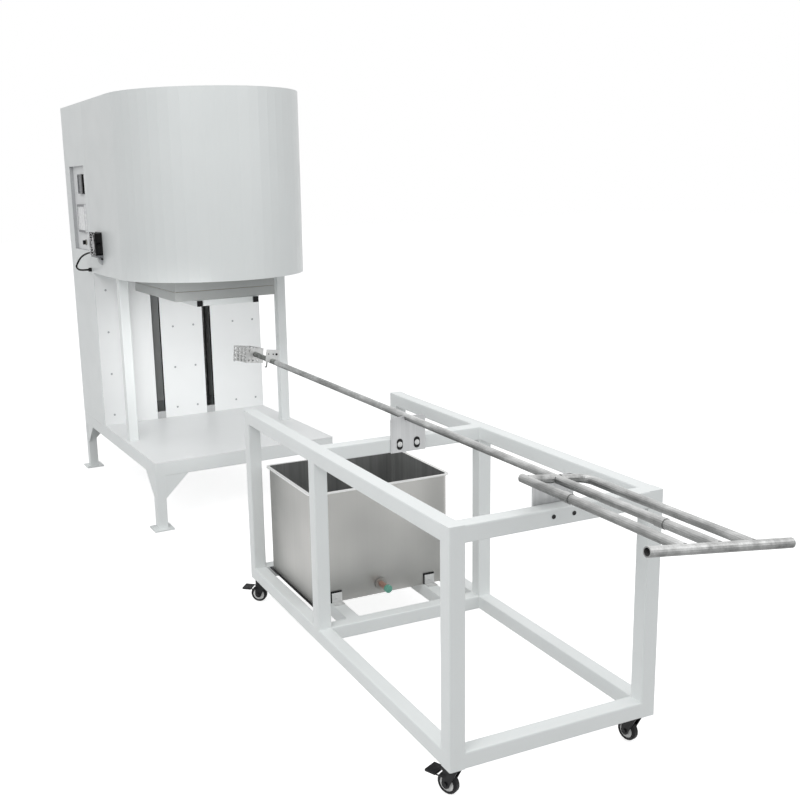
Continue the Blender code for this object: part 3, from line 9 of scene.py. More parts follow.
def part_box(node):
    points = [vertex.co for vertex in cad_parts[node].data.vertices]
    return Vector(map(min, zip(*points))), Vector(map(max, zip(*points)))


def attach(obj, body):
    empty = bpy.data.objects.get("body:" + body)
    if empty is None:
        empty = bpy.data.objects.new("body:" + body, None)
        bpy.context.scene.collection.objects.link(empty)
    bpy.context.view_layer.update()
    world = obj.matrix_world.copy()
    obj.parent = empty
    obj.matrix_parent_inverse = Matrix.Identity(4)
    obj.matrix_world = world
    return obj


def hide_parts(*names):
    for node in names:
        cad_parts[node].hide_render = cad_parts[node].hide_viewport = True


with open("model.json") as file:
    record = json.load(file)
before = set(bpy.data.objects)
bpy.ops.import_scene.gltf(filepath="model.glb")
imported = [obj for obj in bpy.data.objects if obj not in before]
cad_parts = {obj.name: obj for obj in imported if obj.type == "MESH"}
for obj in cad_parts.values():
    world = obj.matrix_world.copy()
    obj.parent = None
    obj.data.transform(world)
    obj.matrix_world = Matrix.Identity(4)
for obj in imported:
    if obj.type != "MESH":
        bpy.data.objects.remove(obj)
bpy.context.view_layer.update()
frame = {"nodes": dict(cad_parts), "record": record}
NODES = frame["nodes"]


# Camera: place, direction and lens fitted to the photograph, in metres, degrees and millimetres
CAMERA_AT = Vector((-1.86725, -3.8386, 1.6794))
CAMERA_TURN = 26.49
CAMERA_DIP = 12.312
CAMERA_ROLL = 1.641
CAMERA_SENSOR = 36
CAMERA_LENS = 46.16
CAMERA_SHIFT_X = 0.0869
CAMERA_SHIFT_Y = 0.0051
CAMERA_REACH = 100


def make_camera():
    turn, dip, roll = (math.radians(angle) for angle in (CAMERA_TURN, CAMERA_DIP, CAMERA_ROLL))
    forward = Vector((math.sin(turn) * math.cos(dip), math.cos(turn) * math.cos(dip), -math.sin(dip)))
    level = Vector((math.cos(turn), -math.sin(turn), 0))
    low = forward.cross(level)
    right = math.cos(roll) * level + math.sin(roll) * low
    down = math.cos(roll) * low - math.sin(roll) * level
    data = bpy.data.cameras.new("camera")
    data.sensor_width = CAMERA_SENSOR
    data.lens = CAMERA_LENS
    data.shift_x = CAMERA_SHIFT_X
    data.shift_y = CAMERA_SHIFT_Y
    data.clip_end = CAMERA_REACH
    camera = bpy.data.objects.new("camera", data)
    bpy.context.scene.collection.objects.link(camera)
    turned = Matrix((right, -down, -forward)).transposed().to_4x4()
    camera.matrix_world = Matrix.Translation(CAMERA_AT) @ turned
    bpy.context.scene.camera = camera


make_camera()


# Materials. Each is a small node tree over object coordinates, in metres.
class Paint:
    def __init__(self, name):
        self.material = bpy.data.materials.new(name)
        self.material.use_nodes = True
        self.tree = self.material.node_tree
        self.shader = self.tree.nodes["Principled BSDF"]
        self.place = self.tree.nodes.new("ShaderNodeTexCoord").outputs["Object"]

    def set(self, **values):
        for key, value in values.items():
            self.shader.inputs[key.replace("_", " ")].default_value = value
        return self

    def noise(self, scale, detail=3.0, stretch=None, rough=0.5):
        node = self.tree.nodes.new("ShaderNodeTexNoise")
        node.inputs["Scale"].default_value = scale
        node.inputs["Detail"].default_value = detail
        node.inputs["Roughness"].default_value = rough
        source = self.place
        if stretch:
            mapping = self.tree.nodes.new("ShaderNodeMapping")
            mapping.inputs["Scale"].default_value = stretch
            self.tree.links.new(source, mapping.inputs["Vector"])
            source = mapping.outputs["Vector"]
        self.tree.links.new(source, node.inputs["Vector"])
        return node.outputs["Fac"]

    def spread(self, value, low, high, out_low, out_high):
        node = self.tree.nodes.new("ShaderNodeMapRange")
        for key, number in zip(("From Min", "From Max", "To Min", "To Max"), (low, high, out_low, out_high)):
            node.inputs[key].default_value = number
        self.tree.links.new(value, node.inputs["Value"])
        return node.outputs["Result"]

    def ramp(self, value, *stops):
        node = self.tree.nodes.new("ShaderNodeValToRGB")
        points = node.color_ramp.elements
        points[0].position, points[0].color = stops[0][0], (*stops[0][1], 1)
        points[1].position, points[1].color = stops[-1][0], (*stops[-1][1], 1)
        for place, color in stops[1:-1]:
            points.new(place).color = (*color, 1)
        self.tree.links.new(value, node.inputs["Fac"])
        return node.outputs["Color"]

    def rise(self):
        """How far the surface faces up, -1 to 1."""
        node = self.tree.nodes.new("ShaderNodeTexCoord")
        split = self.tree.nodes.new("ShaderNodeSeparateXYZ")
        self.tree.links.new(node.outputs["Normal"], split.inputs[0])
        return split.outputs["Z"]

    def add(self, first, second):
        node = self.tree.nodes.new("ShaderNodeMath")
        self.tree.links.new(first, node.inputs[0])
        self.tree.links.new(second, node.inputs[1])
        return node.outputs[0]

    def link(self, value, name):
        self.tree.links.new(value, self.shader.inputs[name])
        return self

    def bump(self, *layers):
        last = None
        for value, strength, distance in layers:
            node = self.tree.nodes.new("ShaderNodeBump")
            node.inputs["Strength"].default_value = strength
            node.inputs["Distance"].default_value = distance
            self.tree.links.new(value, node.inputs["Height"])
            if last:
                self.tree.links.new(last, node.inputs["Normal"])
            last = node.outputs["Normal"]
        self.tree.links.new(last, self.shader.inputs["Normal"])
        return self


def powder(name, light, dark, rough=0.42):
    """Powder coat: orange peel, a faint unevenness and dust in the tone."""
    paint = Paint(name)
    cloud = paint.noise(2.3, 4.0)
    paint.link(paint.ramp(cloud, (0.3, dark), (0.7, light)), "Base Color")
    peel = paint.noise(420, 2.0)
    wave = paint.noise(38, 2.0)
    paint.link(paint.spread(paint.noise(11, 3.0), 0.3, 0.7, rough - 0.05, rough + 0.06), "Roughness")
    paint.bump((peel, 0.12, 0.0004), (wave, 0.06, 0.001))
    paint.set(Coat_Weight=0.12, Coat_Roughness=0.25)
    return paint.material


def brushed(name, light, dark, along, rough=0.3, wide=90.0, metallic=0.92):
    """Brushed metal: fine streaks along one axis, with soft clouds."""
    paint = Paint(name).set(Metallic=metallic)
    stretch = [wide, wide, wide]
    stretch["xyz".index(along)] = 1.6
    streak = paint.noise(1.0, 5.0, stretch, 0.65)
    wide_streak = paint.noise(0.12, 3.0, stretch, 0.6)
    mix = paint.tree.nodes.new("ShaderNodeMath")
    mix.operation = "MULTIPLY_ADD"
    mix.inputs[1].default_value = 0.55
    paint.tree.links.new(streak, mix.inputs[0])
    paint.tree.links.new(paint.spread(wide_streak, 0.0, 1.0, 0.0, 0.45), mix.inputs[2])
    tone = mix.outputs[0]
    paint.link(paint.ramp(tone, (0.32, dark), (0.68, light)), "Base Color")
    paint.link(paint.spread(tone, 0.3, 0.7, rough + 0.08, rough - 0.06), "Roughness")
    paint.bump((streak, 0.08, 0.0003))
    return paint.material


def tube_steel_painted_light(name, light, dark, along=(1.0, 0.3, 1.0), rough=0.34):
    """Welded stainless tube: painted highlight above, painted shade below, with smears along it."""
    paint = Paint(name).set(Metallic=0.85)
    # Painted light: the base colour is lighter on faces that look up and darker on faces that look down.
    up = paint.spread(paint.rise(), -0.8, 1.0, 0.0, 0.62)
    smear = paint.spread(paint.noise(21, 6.0, along, 0.65), 0.32, 0.68, 0.0, 0.38)
    middle = tuple(low + 0.3 * (high - low) for low, high in zip(dark, light))
    tone = paint.add(up, smear)
    paint.link(paint.ramp(tone, (0.15, dark), (0.55, middle), (0.95, light)), "Base Color")
    paint.link(paint.spread(paint.noise(45, 4.0), 0.3, 0.7, rough - 0.06, rough + 0.1), "Roughness")
    paint.bump((paint.noise(90, 4.0, along), 0.12, 0.0008))
    return paint.material


def plastic(name, color, rough=0.42, grain=700.0, metallic=0.0, shine=0.5):
    """Moulded or dull: one colour with faint clouds and a fine grain."""
    paint = Paint(name).set(Metallic=metallic)
    lighter = tuple(min(1.0, channel * 1.25 + 0.002) for channel in color)
    paint.set(Specular_IOR_Level=shine)
    paint.link(paint.ramp(paint.noise(60, 3.0), (0.35, color), (0.7, lighter)), "Base Color")
    paint.link(paint.spread(paint.noise(90, 3.0), 0.3, 0.7, rough - 0.07, rough + 0.08), "Roughness")
    paint.bump((paint.noise(grain, 2.0), 0.15, 0.0003))
    return paint.material


COAT = powder("coat", (0.86, 0.885, 0.88), (0.82, 0.845, 0.84))
CASING = powder("coat_casing", (0.80, 0.825, 0.82), (0.765, 0.79, 0.785), 0.36)
PANEL = powder("panel", (0.93, 0.94, 0.94), (0.89, 0.9, 0.9), 0.46)
ZINC = brushed("zinc", (0.6, 0.605, 0.61), (0.46, 0.465, 0.47), "z", 0.4, 90.0, 0.7)
# Both tube steels carry painted light: lighter on upward faces, darker on downward ones; the scorched one also
# has dark heat oxide.
ROD_STEEL_PAINTED_LIGHT = tube_steel_painted_light("stainless_tube_painted_light", (0.72, 0.725, 0.72), (0.07, 0.072, 0.07))
SHEET_STEEL = brushed("stainless_sheet", (0.66, 0.665, 0.66), (0.4, 0.405, 0.4), "z", 0.42, 90.0, 0.6)
CHROME = brushed("chrome", (0.86, 0.86, 0.87), (0.78, 0.78, 0.79), "z", 0.12, 200.0, 1.0)
SCORCHED_AND_PAINTED_LIGHT = tube_steel_painted_light("stainless_scorched_painted_light", (0.4, 0.42, 0.4), (0.05, 0.052, 0.05), (3.0, 1.5, 3.0), 0.5)
BLACK = plastic("black_plastic", (0.003, 0.003, 0.0035), 0.42, 700.0, 0.0, 0.18)
BLACK_METAL = plastic("black_metal", (0.004, 0.004, 0.005), 0.4, 700.0, 0.0, 0.25)
TYRE = plastic("tyre", (0.004, 0.004, 0.005), 0.55, 900.0, 0.0, 0.22)
DISC = plastic("wheel_disc", (0.78, 0.78, 0.77), 0.4)
GREY = plastic("grey_plastic", (0.17, 0.175, 0.185), 0.4)
SCREEN = plastic("screen", (0.8, 0.82, 0.82), 0.2, 1400.0)
FIBRE = plastic("fibre", (0.78, 0.76, 0.7), 0.95, 160.0)
BRICK = plastic("refractory", (0.66, 0.58, 0.46), 0.9, 220.0)
BRASS = plastic("brass", (0.62, 0.4, 0.16), 0.3, 500.0, 0.9)
ELEMENT = plastic("element", (0.2, 0.15, 0.13), 0.55, 500.0, 0.6)
RUBBER = plastic("lead_rubber", (0.003, 0.003, 0.0035), 0.45, 300.0, 0.0, 0.15)
COPPER = plastic("drain_nut", (0.42, 0.25, 0.2), 0.4, 500.0, 0.5)
GREEN = plastic("drain_end", (0.13, 0.36, 0.28), 0.45, 500.0, 0.2)
FLANGE = brushed("drain_flange", (0.42, 0.42, 0.4), (0.2, 0.2, 0.19), "x", 0.4, 60.0, 0.8)
# Painted highlight: a near-white copy of the sheet for the band round the tank's top.
TANK_RIM_PAINTED_HIGHLIGHT = brushed("tank_rim_painted_highlight", (0.9, 0.9, 0.89), (0.78, 0.78, 0.77), "x", 0.3, 90.0, 0.4)
# Painted shade: a darker copy of the white coat, for the control panel's recess walls and the fan's gusset.
SHADE = powder("coat_painted_shade", (0.52, 0.535, 0.54), (0.42, 0.43, 0.44))
# Painted shade: a darker copy of the coat for the chamber shell and hearth tray, which sit in shadow under the
# casing.
CHAMBER_PAINTED_SHADE = powder("coat_chamber_painted_shade", (0.5, 0.515, 0.505), (0.4, 0.41, 0.405), 0.5)
# Painted shade: a darker, less metallic copy of the tank sheet for the tank's inner walls and floor.
TANK_INSIDE_PAINTED_SHADE = brushed("tank_inside_painted_shade", (0.3, 0.305, 0.3), (0.17, 0.172, 0.17), "z", 0.5, 60.0, 0.35)
OLIVE = brushed("selector_ring", (0.34, 0.34, 0.3), (0.16, 0.16, 0.14), "y", 0.35, 120.0, 0.8)
PLATE_STEEL = brushed("stainless_plate", (0.78, 0.785, 0.78), (0.6, 0.605, 0.6), "z", 0.45, 60.0, 0.35)
SCREW = plastic("panel_screw", (0.36, 0.37, 0.38), 0.45, 700.0, 0.4)


def tank_sheet():
    """Satin sheet: a fine upright grain and broad soft clouds, darker and lighter at random."""
    paint = Paint("stainless_tank").set(Metallic=0.9)
    cloud = paint.noise(2.6, 2.0, None, 0.4)
    paint.link(paint.ramp(cloud, (0.3, (0.33, 0.33, 0.32)), (0.7, (0.46, 0.455, 0.44))), "Base Color")
    grain = paint.noise(1.0, 4.0, (170.0, 170.0, 2.0), 0.6)
    paint.link(paint.spread(grain, 0.3, 0.7, 0.36, 0.46), "Roughness")
    paint.bump((grain, 0.05, 0.0003))
    return paint.material


TANK = tank_sheet()
SLOT_PAINT = {
    "coat": COAT, "panel": PANEL, "zinc": ZINC, "stainless": ROD_STEEL_PAINTED_LIGHT, "chrome": CHROME,
    "black_plastic": BLACK, "black_metal": BLACK_METAL, "tyre": TYRE, "fibre": FIBRE,
    "refractory": BRICK, "grey": GREY, "screen": SCREEN, "brass": BRASS, "element": ELEMENT,
}
for entry in frame["record"]["subparts"]:
    node = NODES[entry["node"]]
    node.data.materials.clear()
    node.data.materials.append(SLOT_PAINT[entry["material_slot"]])
NODES["tank"].data.materials[0] = TANK
NODES["casing_shell"].data.materials[0] = CASING
for name in ("basket", "basket_bracket"):
    NODES[name].data.materials[0] = SHEET_STEEL


DISC_R = 0.0255
SCREW_FRONT = 0.0029
FLANGE_SHARE = 0.3
END_SHARE = 0.32
RIM_HIGHLIGHT_BAND = 0.0045
FAN_TOP_HIGHLIGHT_BAND = 0.004
PANEL_SKIN = 0.008
CORNERS = ("near_front", "far_front", "near_back", "far_back")
PANELS = ("panel_left", "panel_middle", "panel_right")


def second_paint(name, material, chosen):
    """Gives the faces that chosen() picks by their middle and normal another material."""
    mesh = NODES[name].data
    mesh.materials.append(material)
    place = len(mesh.materials) - 1
    for face in mesh.polygons:
        if chosen(face.center, face.normal):
            face.material_index = place


for name in CORNERS:
    low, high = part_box("wheel_" + name)
    middle = (low + high) / 2
    second_paint("wheel_" + name, DISC, lambda at, way, middle=middle: (at - middle).length < DISC_R)
for name in PANELS:
    low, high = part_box(name)
    second_paint(name, SCREW, lambda at, way, front=low.y: at.y < front + SCREW_FRONT)


def inward(from_middle, way):
    """True for an upright face that looks at the middle of its vessel."""
    flat = Vector((from_middle.x, from_middle.y, 0)).normalized()
    return abs(way.z) < 0.5 and flat.dot(way) < -0.2


def paint_parts():
    """Second finishes on single nodes, chosen by the place and lie of each face. Some are painted light:
    painted shade inside the tank, in the control panel's recess, on the chamber and on the slot sides, and
    painted highlights on the tank's rim and the fan's top.
    """
    low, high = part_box("drain_fitting")
    long = high.y - low.y
    second_paint("drain_fitting", FLANGE, lambda at, way: at.y > high.y - FLANGE_SHARE * long)
    second_paint("drain_fitting", GREEN, lambda at, way: at.y < low.y + END_SHARE * long)
    NODES["drain_fitting"].data.materials[0] = COPPER
    low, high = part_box("tank")
    middle, top = (low + high) / 2, high.z
    # Painted shade inside the tank: the inner walls and the floor's upper face.
    second_paint("tank", TANK_INSIDE_PAINTED_SHADE, lambda at, way: inward(at - middle, way) or (way.z > 0.9 and at.z < middle.z))
    # Painted highlight on the band round the top of the tank's outer walls.
    second_paint("tank", TANK_RIM_PAINTED_HIGHLIGHT, lambda at, way: at.z > top - RIM_HIGHLIGHT_BAND and not inward(at - middle, way))
    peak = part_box("fan_housing")[1].z
    # Painted highlight: the black fan housing's upward top faces take the lighter grey plastic.
    second_paint("fan_housing", GREY, lambda at, way: way.z > 0.9 and at.z > peak - FAN_TOP_HIGHLIGHT_BAND)
    # Painted shade on the walls of the control panel's recess.
    second_paint("control_panel", SHADE, lambda at, way: abs(way.x) < 0.4)
    NODES["selector_ring"].data.materials[0] = OLIVE
    second_paint("recorder_bezel", SCREEN, lambda at, way: way.y < -0.7)
    # Painted shade: the chamber shell and hearth tray take the darker coat.
    for name in ("chamber_shell", "hearth_tray"):
        NODES[name].data.materials[0] = CHAMBER_PAINTED_SHADE
    # Painted shade: the panels' slot sides, behind the front skin, take the black plastic.
    for name in PANELS:
        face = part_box(name)[0].y
        second_paint(name, BLACK, lambda at, way, face=face: abs(way.x) > 0.7 and at.y > face + PANEL_SKIN)


paint_parts()


# Pieces that the frame leaves to the scene
SHIFT = Vector((0.00975, 0.8944037, 0))


def furnace(x, y, z):
    """A point of the furnace, whose table front edge is y = 0, in the row frame."""
    return Vector((x, y, z)) + SHIFT


CART_AT = Vector((-0.40755, -0.135796, 0))
CART_X = Vector((-0.051116, -0.998693, 0))
CART_Y = Vector((0.998693, -0.051116, 0))
CART = Matrix.Translation(CART_AT) @ Matrix((CART_X, CART_Y, (0, 0, 1))).transposed().to_4x4()
FORK_Y = 0.358
FORK_Z = 0.87
FORK_ROLL = math.radians(-7.0)
FORK = CART @ Matrix.Translation((0, FORK_Y, FORK_Z)) @ Matrix.Rotation(FORK_ROLL, 4, "X")


def piece(name, bm, material, body, smooth=50):
    """Turns a mesh into an object that rides on a body, smooth below an edge angle in degrees."""
    bmesh.ops.recalc_face_normals(bm, faces=bm.faces)
    limit = math.radians(smooth)
    for face in bm.faces:
        face.smooth = True
    for edge in bm.edges:
        edge.smooth = edge.calc_face_angle(math.pi) < limit
    mesh = bpy.data.meshes.new(name)
    bm.to_mesh(mesh)
    bm.free()
    shown = bpy.data.objects.new(name, mesh)
    bpy.context.scene.collection.objects.link(shown)
    mesh.materials.append(material)
    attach(shown, body)
    return shown


def block(bm, low, high, place=Matrix.Identity(4), soft=0.0):
    """A block between two corners of a frame, its edges beveled by soft."""
    made = bmesh.ops.create_cube(bm, size=1)["verts"]
    low, high = Vector(low), Vector(high)
    for vert in made:
        at = Vector((vert.co.x + 0.5, vert.co.y + 0.5, vert.co.z + 0.5))
        vert.co = Vector([low[i] + (high[i] - low[i]) * at[i] for i in range(3)])
    if soft:
        edges = list({edge for vert in made for edge in vert.link_edges})
        grown = bmesh.ops.bevel(bm, geom=edges, offset=soft, segments=2, affect="EDGES", profile=0.6)
        made = list({vert for face in grown["faces"] for vert in face.verts} | {v for v in made if v.is_valid})
    bmesh.ops.transform(bm, matrix=place, verts=made)


def lathe(bm, stations, place, sides=24):
    """Turns (radius, height) stations about the frame's Z axis."""
    rings = []
    for radius, height in stations:
        ring = []
        for step in range(sides):
            angle = 2 * math.pi * step / sides
            x, y = radius * math.cos(angle), radius * math.sin(angle)
            ring.append(bm.verts.new(place @ Vector((x, y, height))))
        rings.append(ring)
    for low, high in zip(rings, rings[1:]):
        for step in range(sides):
            after = (step + 1) % sides
            bm.faces.new((low[step], low[after], high[after], high[step]))
    bm.faces.new(rings[0])
    bm.faces.new(rings[-1])


def aim(at, way):
    """A frame at a point whose Z axis looks along way."""
    return Matrix.Translation(at) @ Vector(way).to_track_quat("Z", "Y").to_matrix().to_4x4()


def weave(points, steps=6):
    """A smooth path through the points."""
    path = [Vector(point) for point in points]
    path = [2 * path[0] - path[1]] + path + [2 * path[-1] - path[-2]]
    curve = []
    for a, b, c, d in zip(path, path[1:], path[2:], path[3:]):
        for step in range(steps):
            t = step / steps
            curve.append(0.5 * (2 * b + (c - a) * t + (2 * a - 5 * b + 4 * c - d) * t * t
                                + (3 * b - a - 3 * c + d) * t ** 3))
    curve.append(path[-2])
    return curve


LEAD_R = 0.005
LEAD_START = furnace(-0.512, 0.8103, 1.338)
GLAND = furnace(-0.49, 0.972, 1.232)
GLAND_L = 0.016
LEAD_OUT = ((-0.003, 0.04, -0.004), (-0.014, 0.1, -0.014), (-0.028, 0.155, -0.032), (-0.038, 0.19, -0.056))
LEAD_IN = ((-0.052, 0.058, 0.018), (-0.047, 0.032, 0.003), (-0.034, 0.008, 0.0))
LEAD_END = ((-0.02, 0.0, 0.0), (-0.0006, 0, 0))


def make_lead():
    """The fan's lead, out of the fan's foot and round into the gland."""
    mouth = GLAND + Vector((-GLAND_L, 0, 0))
    points = [LEAD_START]
    points += [LEAD_START + Vector(offset) for offset in LEAD_OUT]
    points += [mouth + Vector(offset) for offset in LEAD_IN + LEAD_END]
    path = weave(points)
    curve = bpy.data.curves.new("fan_lead_sleeve", "CURVE")
    curve.dimensions = "3D"
    curve.bevel_depth = LEAD_R
    curve.bevel_resolution = 6
    curve.use_fill_caps = True
    spline = curve.splines.new("POLY")
    spline.points.add(len(path) - 1)
    for point, target in zip(path, spline.points):
        target.co = (*point, 1)
    lead = bpy.data.objects.new("fan_lead_sleeve", curve)
    bpy.context.scene.collection.objects.link(lead)
    curve.materials.append(RUBBER)
    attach(lead, "furnace")
    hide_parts("fan_lead")


make_lead()


def grid_wall(bm, corner, across, up, columns, rows, holes):
    """A thin wall of cells. holes[(column, row)] is the half width and height of a cell's hole."""
    corner, across, up = Vector(corner), Vector(across) / columns, Vector(up) / rows
    for column in range(columns):
        for row in range(rows):
            middle = corner + across * (column + 0.5) + up * (row + 0.5)
            edge = []
            rim = []
            half = holes.get((column, row))
            for step in range(16):
                angle = 2 * math.pi * (step + 0.5) / 16
                a, b = math.cos(angle), math.sin(angle)
                reach = 0.5 / max(abs(a), abs(b))
                edge.append(bm.verts.new(middle + across * (a * reach) + up * (b * reach)))
                if half:
                    spread_a = across.normalized() * (a * half[0])
                    rim.append(bm.verts.new(middle + spread_a + up.normalized() * (b * half[1])))
            corners = []
            for a, b in ((0.5, 0.5), (-0.5, 0.5), (-0.5, -0.5), (0.5, -0.5)):
                corners.append(bm.verts.new(middle + across * a + up * b))
            ring = []
            for step in range(16):
                ring.append(edge[step])
                if step % 4 == 1:
                    ring.append(corners[step // 4])
            if not half:
                bm.faces.new(ring)
                continue
            for step in range(16):
                after = (step + 1) % 16
                if step % 4 == 1:
                    bm.faces.new((rim[step], edge[step], corners[step // 4], edge[after], rim[after]))
                else:
                    bm.faces.new((rim[step], edge[step], edge[after], rim[after]))


def all_cells(columns, rows, hole):
    return {(column, row): hole for column in range(columns) for row in range(rows)}


WELD = 0.00002
BASKET_TIP = 0.85
BASKET_L = 0.145
BASKET_HALF = 0.044
BASKET_LOW = -0.042
BASKET_HIGH = 0.027
BASKET_TURN = math.radians(7)
BASKET_PITCH = math.radians(-3)
BASKET_SHEET = 0.0018
BASKET_RIM_R = 0.0021
SIDE_HOLE = (0.0135, 0.0072)
END_HOLE = (0.0055, 0.0055)
END_PORT = (0.0085, 0.009)
FLOOR_HOLE = (0.0065, 0.0065)


def make_basket():
    """The drilled tray on the fork's tip, canted as the photograph shows it."""
    front, back, half, low, high = -BASKET_L, 0.0, BASKET_HALF, BASKET_LOW, BASKET_HIGH
    place = FORK @ Matrix.Translation((-BASKET_TIP, 0, 0))
    place = place @ Matrix.Rotation(BASKET_TURN, 4, "Z") @ Matrix.Rotation(BASKET_PITCH, 4, "Y")
    tall = (0, 0, high - low)
    side_holes = all_cells(4, 4, SIDE_HOLE)
    bm = bmesh.new()
    for y in (-half, half):
        grid_wall(bm, (front, y, low), (back - front, 0, 0), tall, 4, 4, side_holes)
    end_holes = all_cells(3, 1, END_HOLE)
    end_holes[(0, 2)] = END_PORT
    grid_wall(bm, (back, -half, low), (0, 2 * half, 0), tall, 4, 3, end_holes)
    grid_wall(bm, (front, -half, low), (0, 2 * half, 0), tall, 4, 3, all_cells(4, 3, END_HOLE))
    floor_holes = all_cells(5, 3, FLOOR_HOLE)
    grid_wall(bm, (front, -half, low), (back - front, 0, 0), (0, 2 * half, 0), 5, 3, floor_holes)
    bmesh.ops.remove_doubles(bm, verts=bm.verts, dist=WELD)
    bmesh.ops.transform(bm, matrix=place, verts=bm.verts)
    tray = piece("basket_tray", bm, SHEET_STEEL, "loading_fork", 20)
    thick = tray.modifiers.new("sheet", "SOLIDIFY")
    thick.thickness = BASKET_SHEET
    thick.offset = 0
    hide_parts("basket")
    rim = [(front, -half, high), (back, -half, high), (back, half, high), (front, half, high)]
    bm = bmesh.new()
    for a, b in zip(rim, rim[1:] + rim[:1]):
        rod_between(bm, place @ Vector(a), place @ Vector(b), BASKET_RIM_R)
    piece("basket_rim", bm, SHEET_STEEL, "loading_fork")


def rod_between(bm, a, b, radius, sides=12):
    way = Vector(b) - Vector(a)
    lathe(bm, [(radius, 0), (radius, way.length)], aim(a, way), sides)


PLATE_X = -0.617
PLATE_T = 0.004
PLATE_HALF = 0.0315
PLATE_LOW = -0.006
PLATE_HIGH = 0.054
LUG_END = -0.70
LUG_HALF = 0.0022
LUG_LOW = 0.011
LUG_HIGH = 0.03
LUG_ROUND = 0.0008
PLATE_HOLE_SHADE_Z = 0.033
PLATE_HOLE_SHADE_H = 0.003
PLATE_HOLE_SHADES = ((-0.021, 0.0026), (0.002, 0.003), (0.018, 0.0052))
STUB_STATIONS = ((0.0118, -0.8475), (0.0121, -0.8467), (0.0121, -0.5605), (0.0114, -0.56))
HOOK_R = 0.0028
HOOK_STEM = ((-0.64, -0.0152, 0.006), (-0.64, -0.0165, -0.012), (-0.64, -0.0168, -0.024))
HOOK_TOE = ((-0.6425, -0.0168, -0.030), (-0.648, -0.0168, -0.0325), (-0.657, -0.0168, -0.0325))


def make_carrier():
    """The cross plate that carries the tray, with black discs as painted shade in its three holes, its stub
    tube and hook.
    """
    bm = bmesh.new()
    for face in (PLATE_X - PLATE_T / 2, PLATE_X + PLATE_T / 2):
        tall = (0, 0, PLATE_HIGH - PLATE_LOW)
        grid_wall(bm, (face, -PLATE_HALF, PLATE_LOW), (0, 2 * PLATE_HALF, 0), tall, 6, 3, {})
    bmesh.ops.remove_doubles(bm, verts=bm.verts, dist=WELD)
    bmesh.ops.bridge_loops(bm, edges=[edge for edge in bm.edges if edge.is_boundary])
    bmesh.ops.transform(bm, matrix=FORK, verts=bm.verts)
    lug_near = (LUG_END, -LUG_HALF, LUG_LOW)
    block(bm, lug_near, (PLATE_X - PLATE_T / 2, LUG_HALF, LUG_HIGH), FORK, LUG_ROUND)
    plate = piece("basket_carrier", bm, PLATE_STEEL, "loading_fork", 30)
    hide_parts("basket_bracket")
    # Painted shade: black discs in the plate's three holes.
    bm = bmesh.new()
    for y, radius in PLATE_HOLE_SHADES:
        disc(bm, FORK @ Vector((PLATE_X + PLATE_T / 2, y, PLATE_HOLE_SHADE_Z)), CART_X, radius, PLATE_HOLE_SHADE_H)
    piece("basket_carrier_hole_shade", bm, BLACK_METAL, "loading_fork")
    bm = bmesh.new()
    lathe(bm, STUB_STATIONS, FORK @ Matrix.Rotation(math.radians(90), 4, "Y"), 32)
    piece("basket_stub", bm, SCORCHED_AND_PAINTED_LIGHT, "loading_fork")
    bm = bmesh.new()
    path = weave([FORK @ Vector(point) for point in HOOK_STEM + HOOK_TOE], 4)
    for a, b in zip(path, path[1:]):
        rod_between(bm, a, b, HOOK_R, 10)
    piece("basket_hook", bm, SCORCHED_AND_PAINTED_LIGHT, "loading_fork")


def disc(bm, at, way, radius, height, sides=20):
    soft = min(radius, height) * 0.3
    lathe(bm, [(radius, 0), (radius, height - soft), (radius - soft, height)], aim(at, way), sides)


CART_L = 1.6
BOLT_Z = 0.778
BOLT_HALF = 0.0335
BORE_LIFT = 0.0003
BORE_STATIONS = ((0.0064, 0), (0.0064, 0.0006), (0.0048, 0.0006), (0.0044, 0.0004))


def make_rail_bores():
    """Black discs over the two bolt holes in the cart's rear rail: painted shade in their mouths."""
    bm = bmesh.new()
    for side in (-1, 1):
        at = CART @ Vector((CART_L + BORE_LIFT, FORK_Y + side * BOLT_HALF, BOLT_Z))
        lathe(bm, BORE_STATIONS, aim(at, CART_X), 24)
    piece("rail_bore_painted_shade", bm, BLACK_METAL, "cart")


SADDLES = (("front", 0.7105, 1), ("rear", 1.5446, -1))
SADDLE_LIFT = 0.0004
SLOT_R = 0.0115
SLOT_HALF = 0.0085
SLOT_T = 0.0005
SLOT_STEPS = 24
SEAT_LIFT = 0.0006
WASHER_R = 0.0095
WASHER_T = 0.0014
HEAD_R = 0.0068
HEAD_H = 0.005


def slot_outline(at):
    """Points of an upright slot with round ends about a place on a saddle."""
    outline = []
    for step in range(SLOT_STEPS):
        angle = 2 * math.pi * (step + 0.5) / SLOT_STEPS
        lift = SLOT_HALF if math.sin(angle) > 0 else -SLOT_HALF
        across, up = SLOT_R * math.cos(angle), lift + SLOT_R * math.sin(angle)
        outline.append(at + CART_Y * across + Vector((0, 0, up)))
    return outline


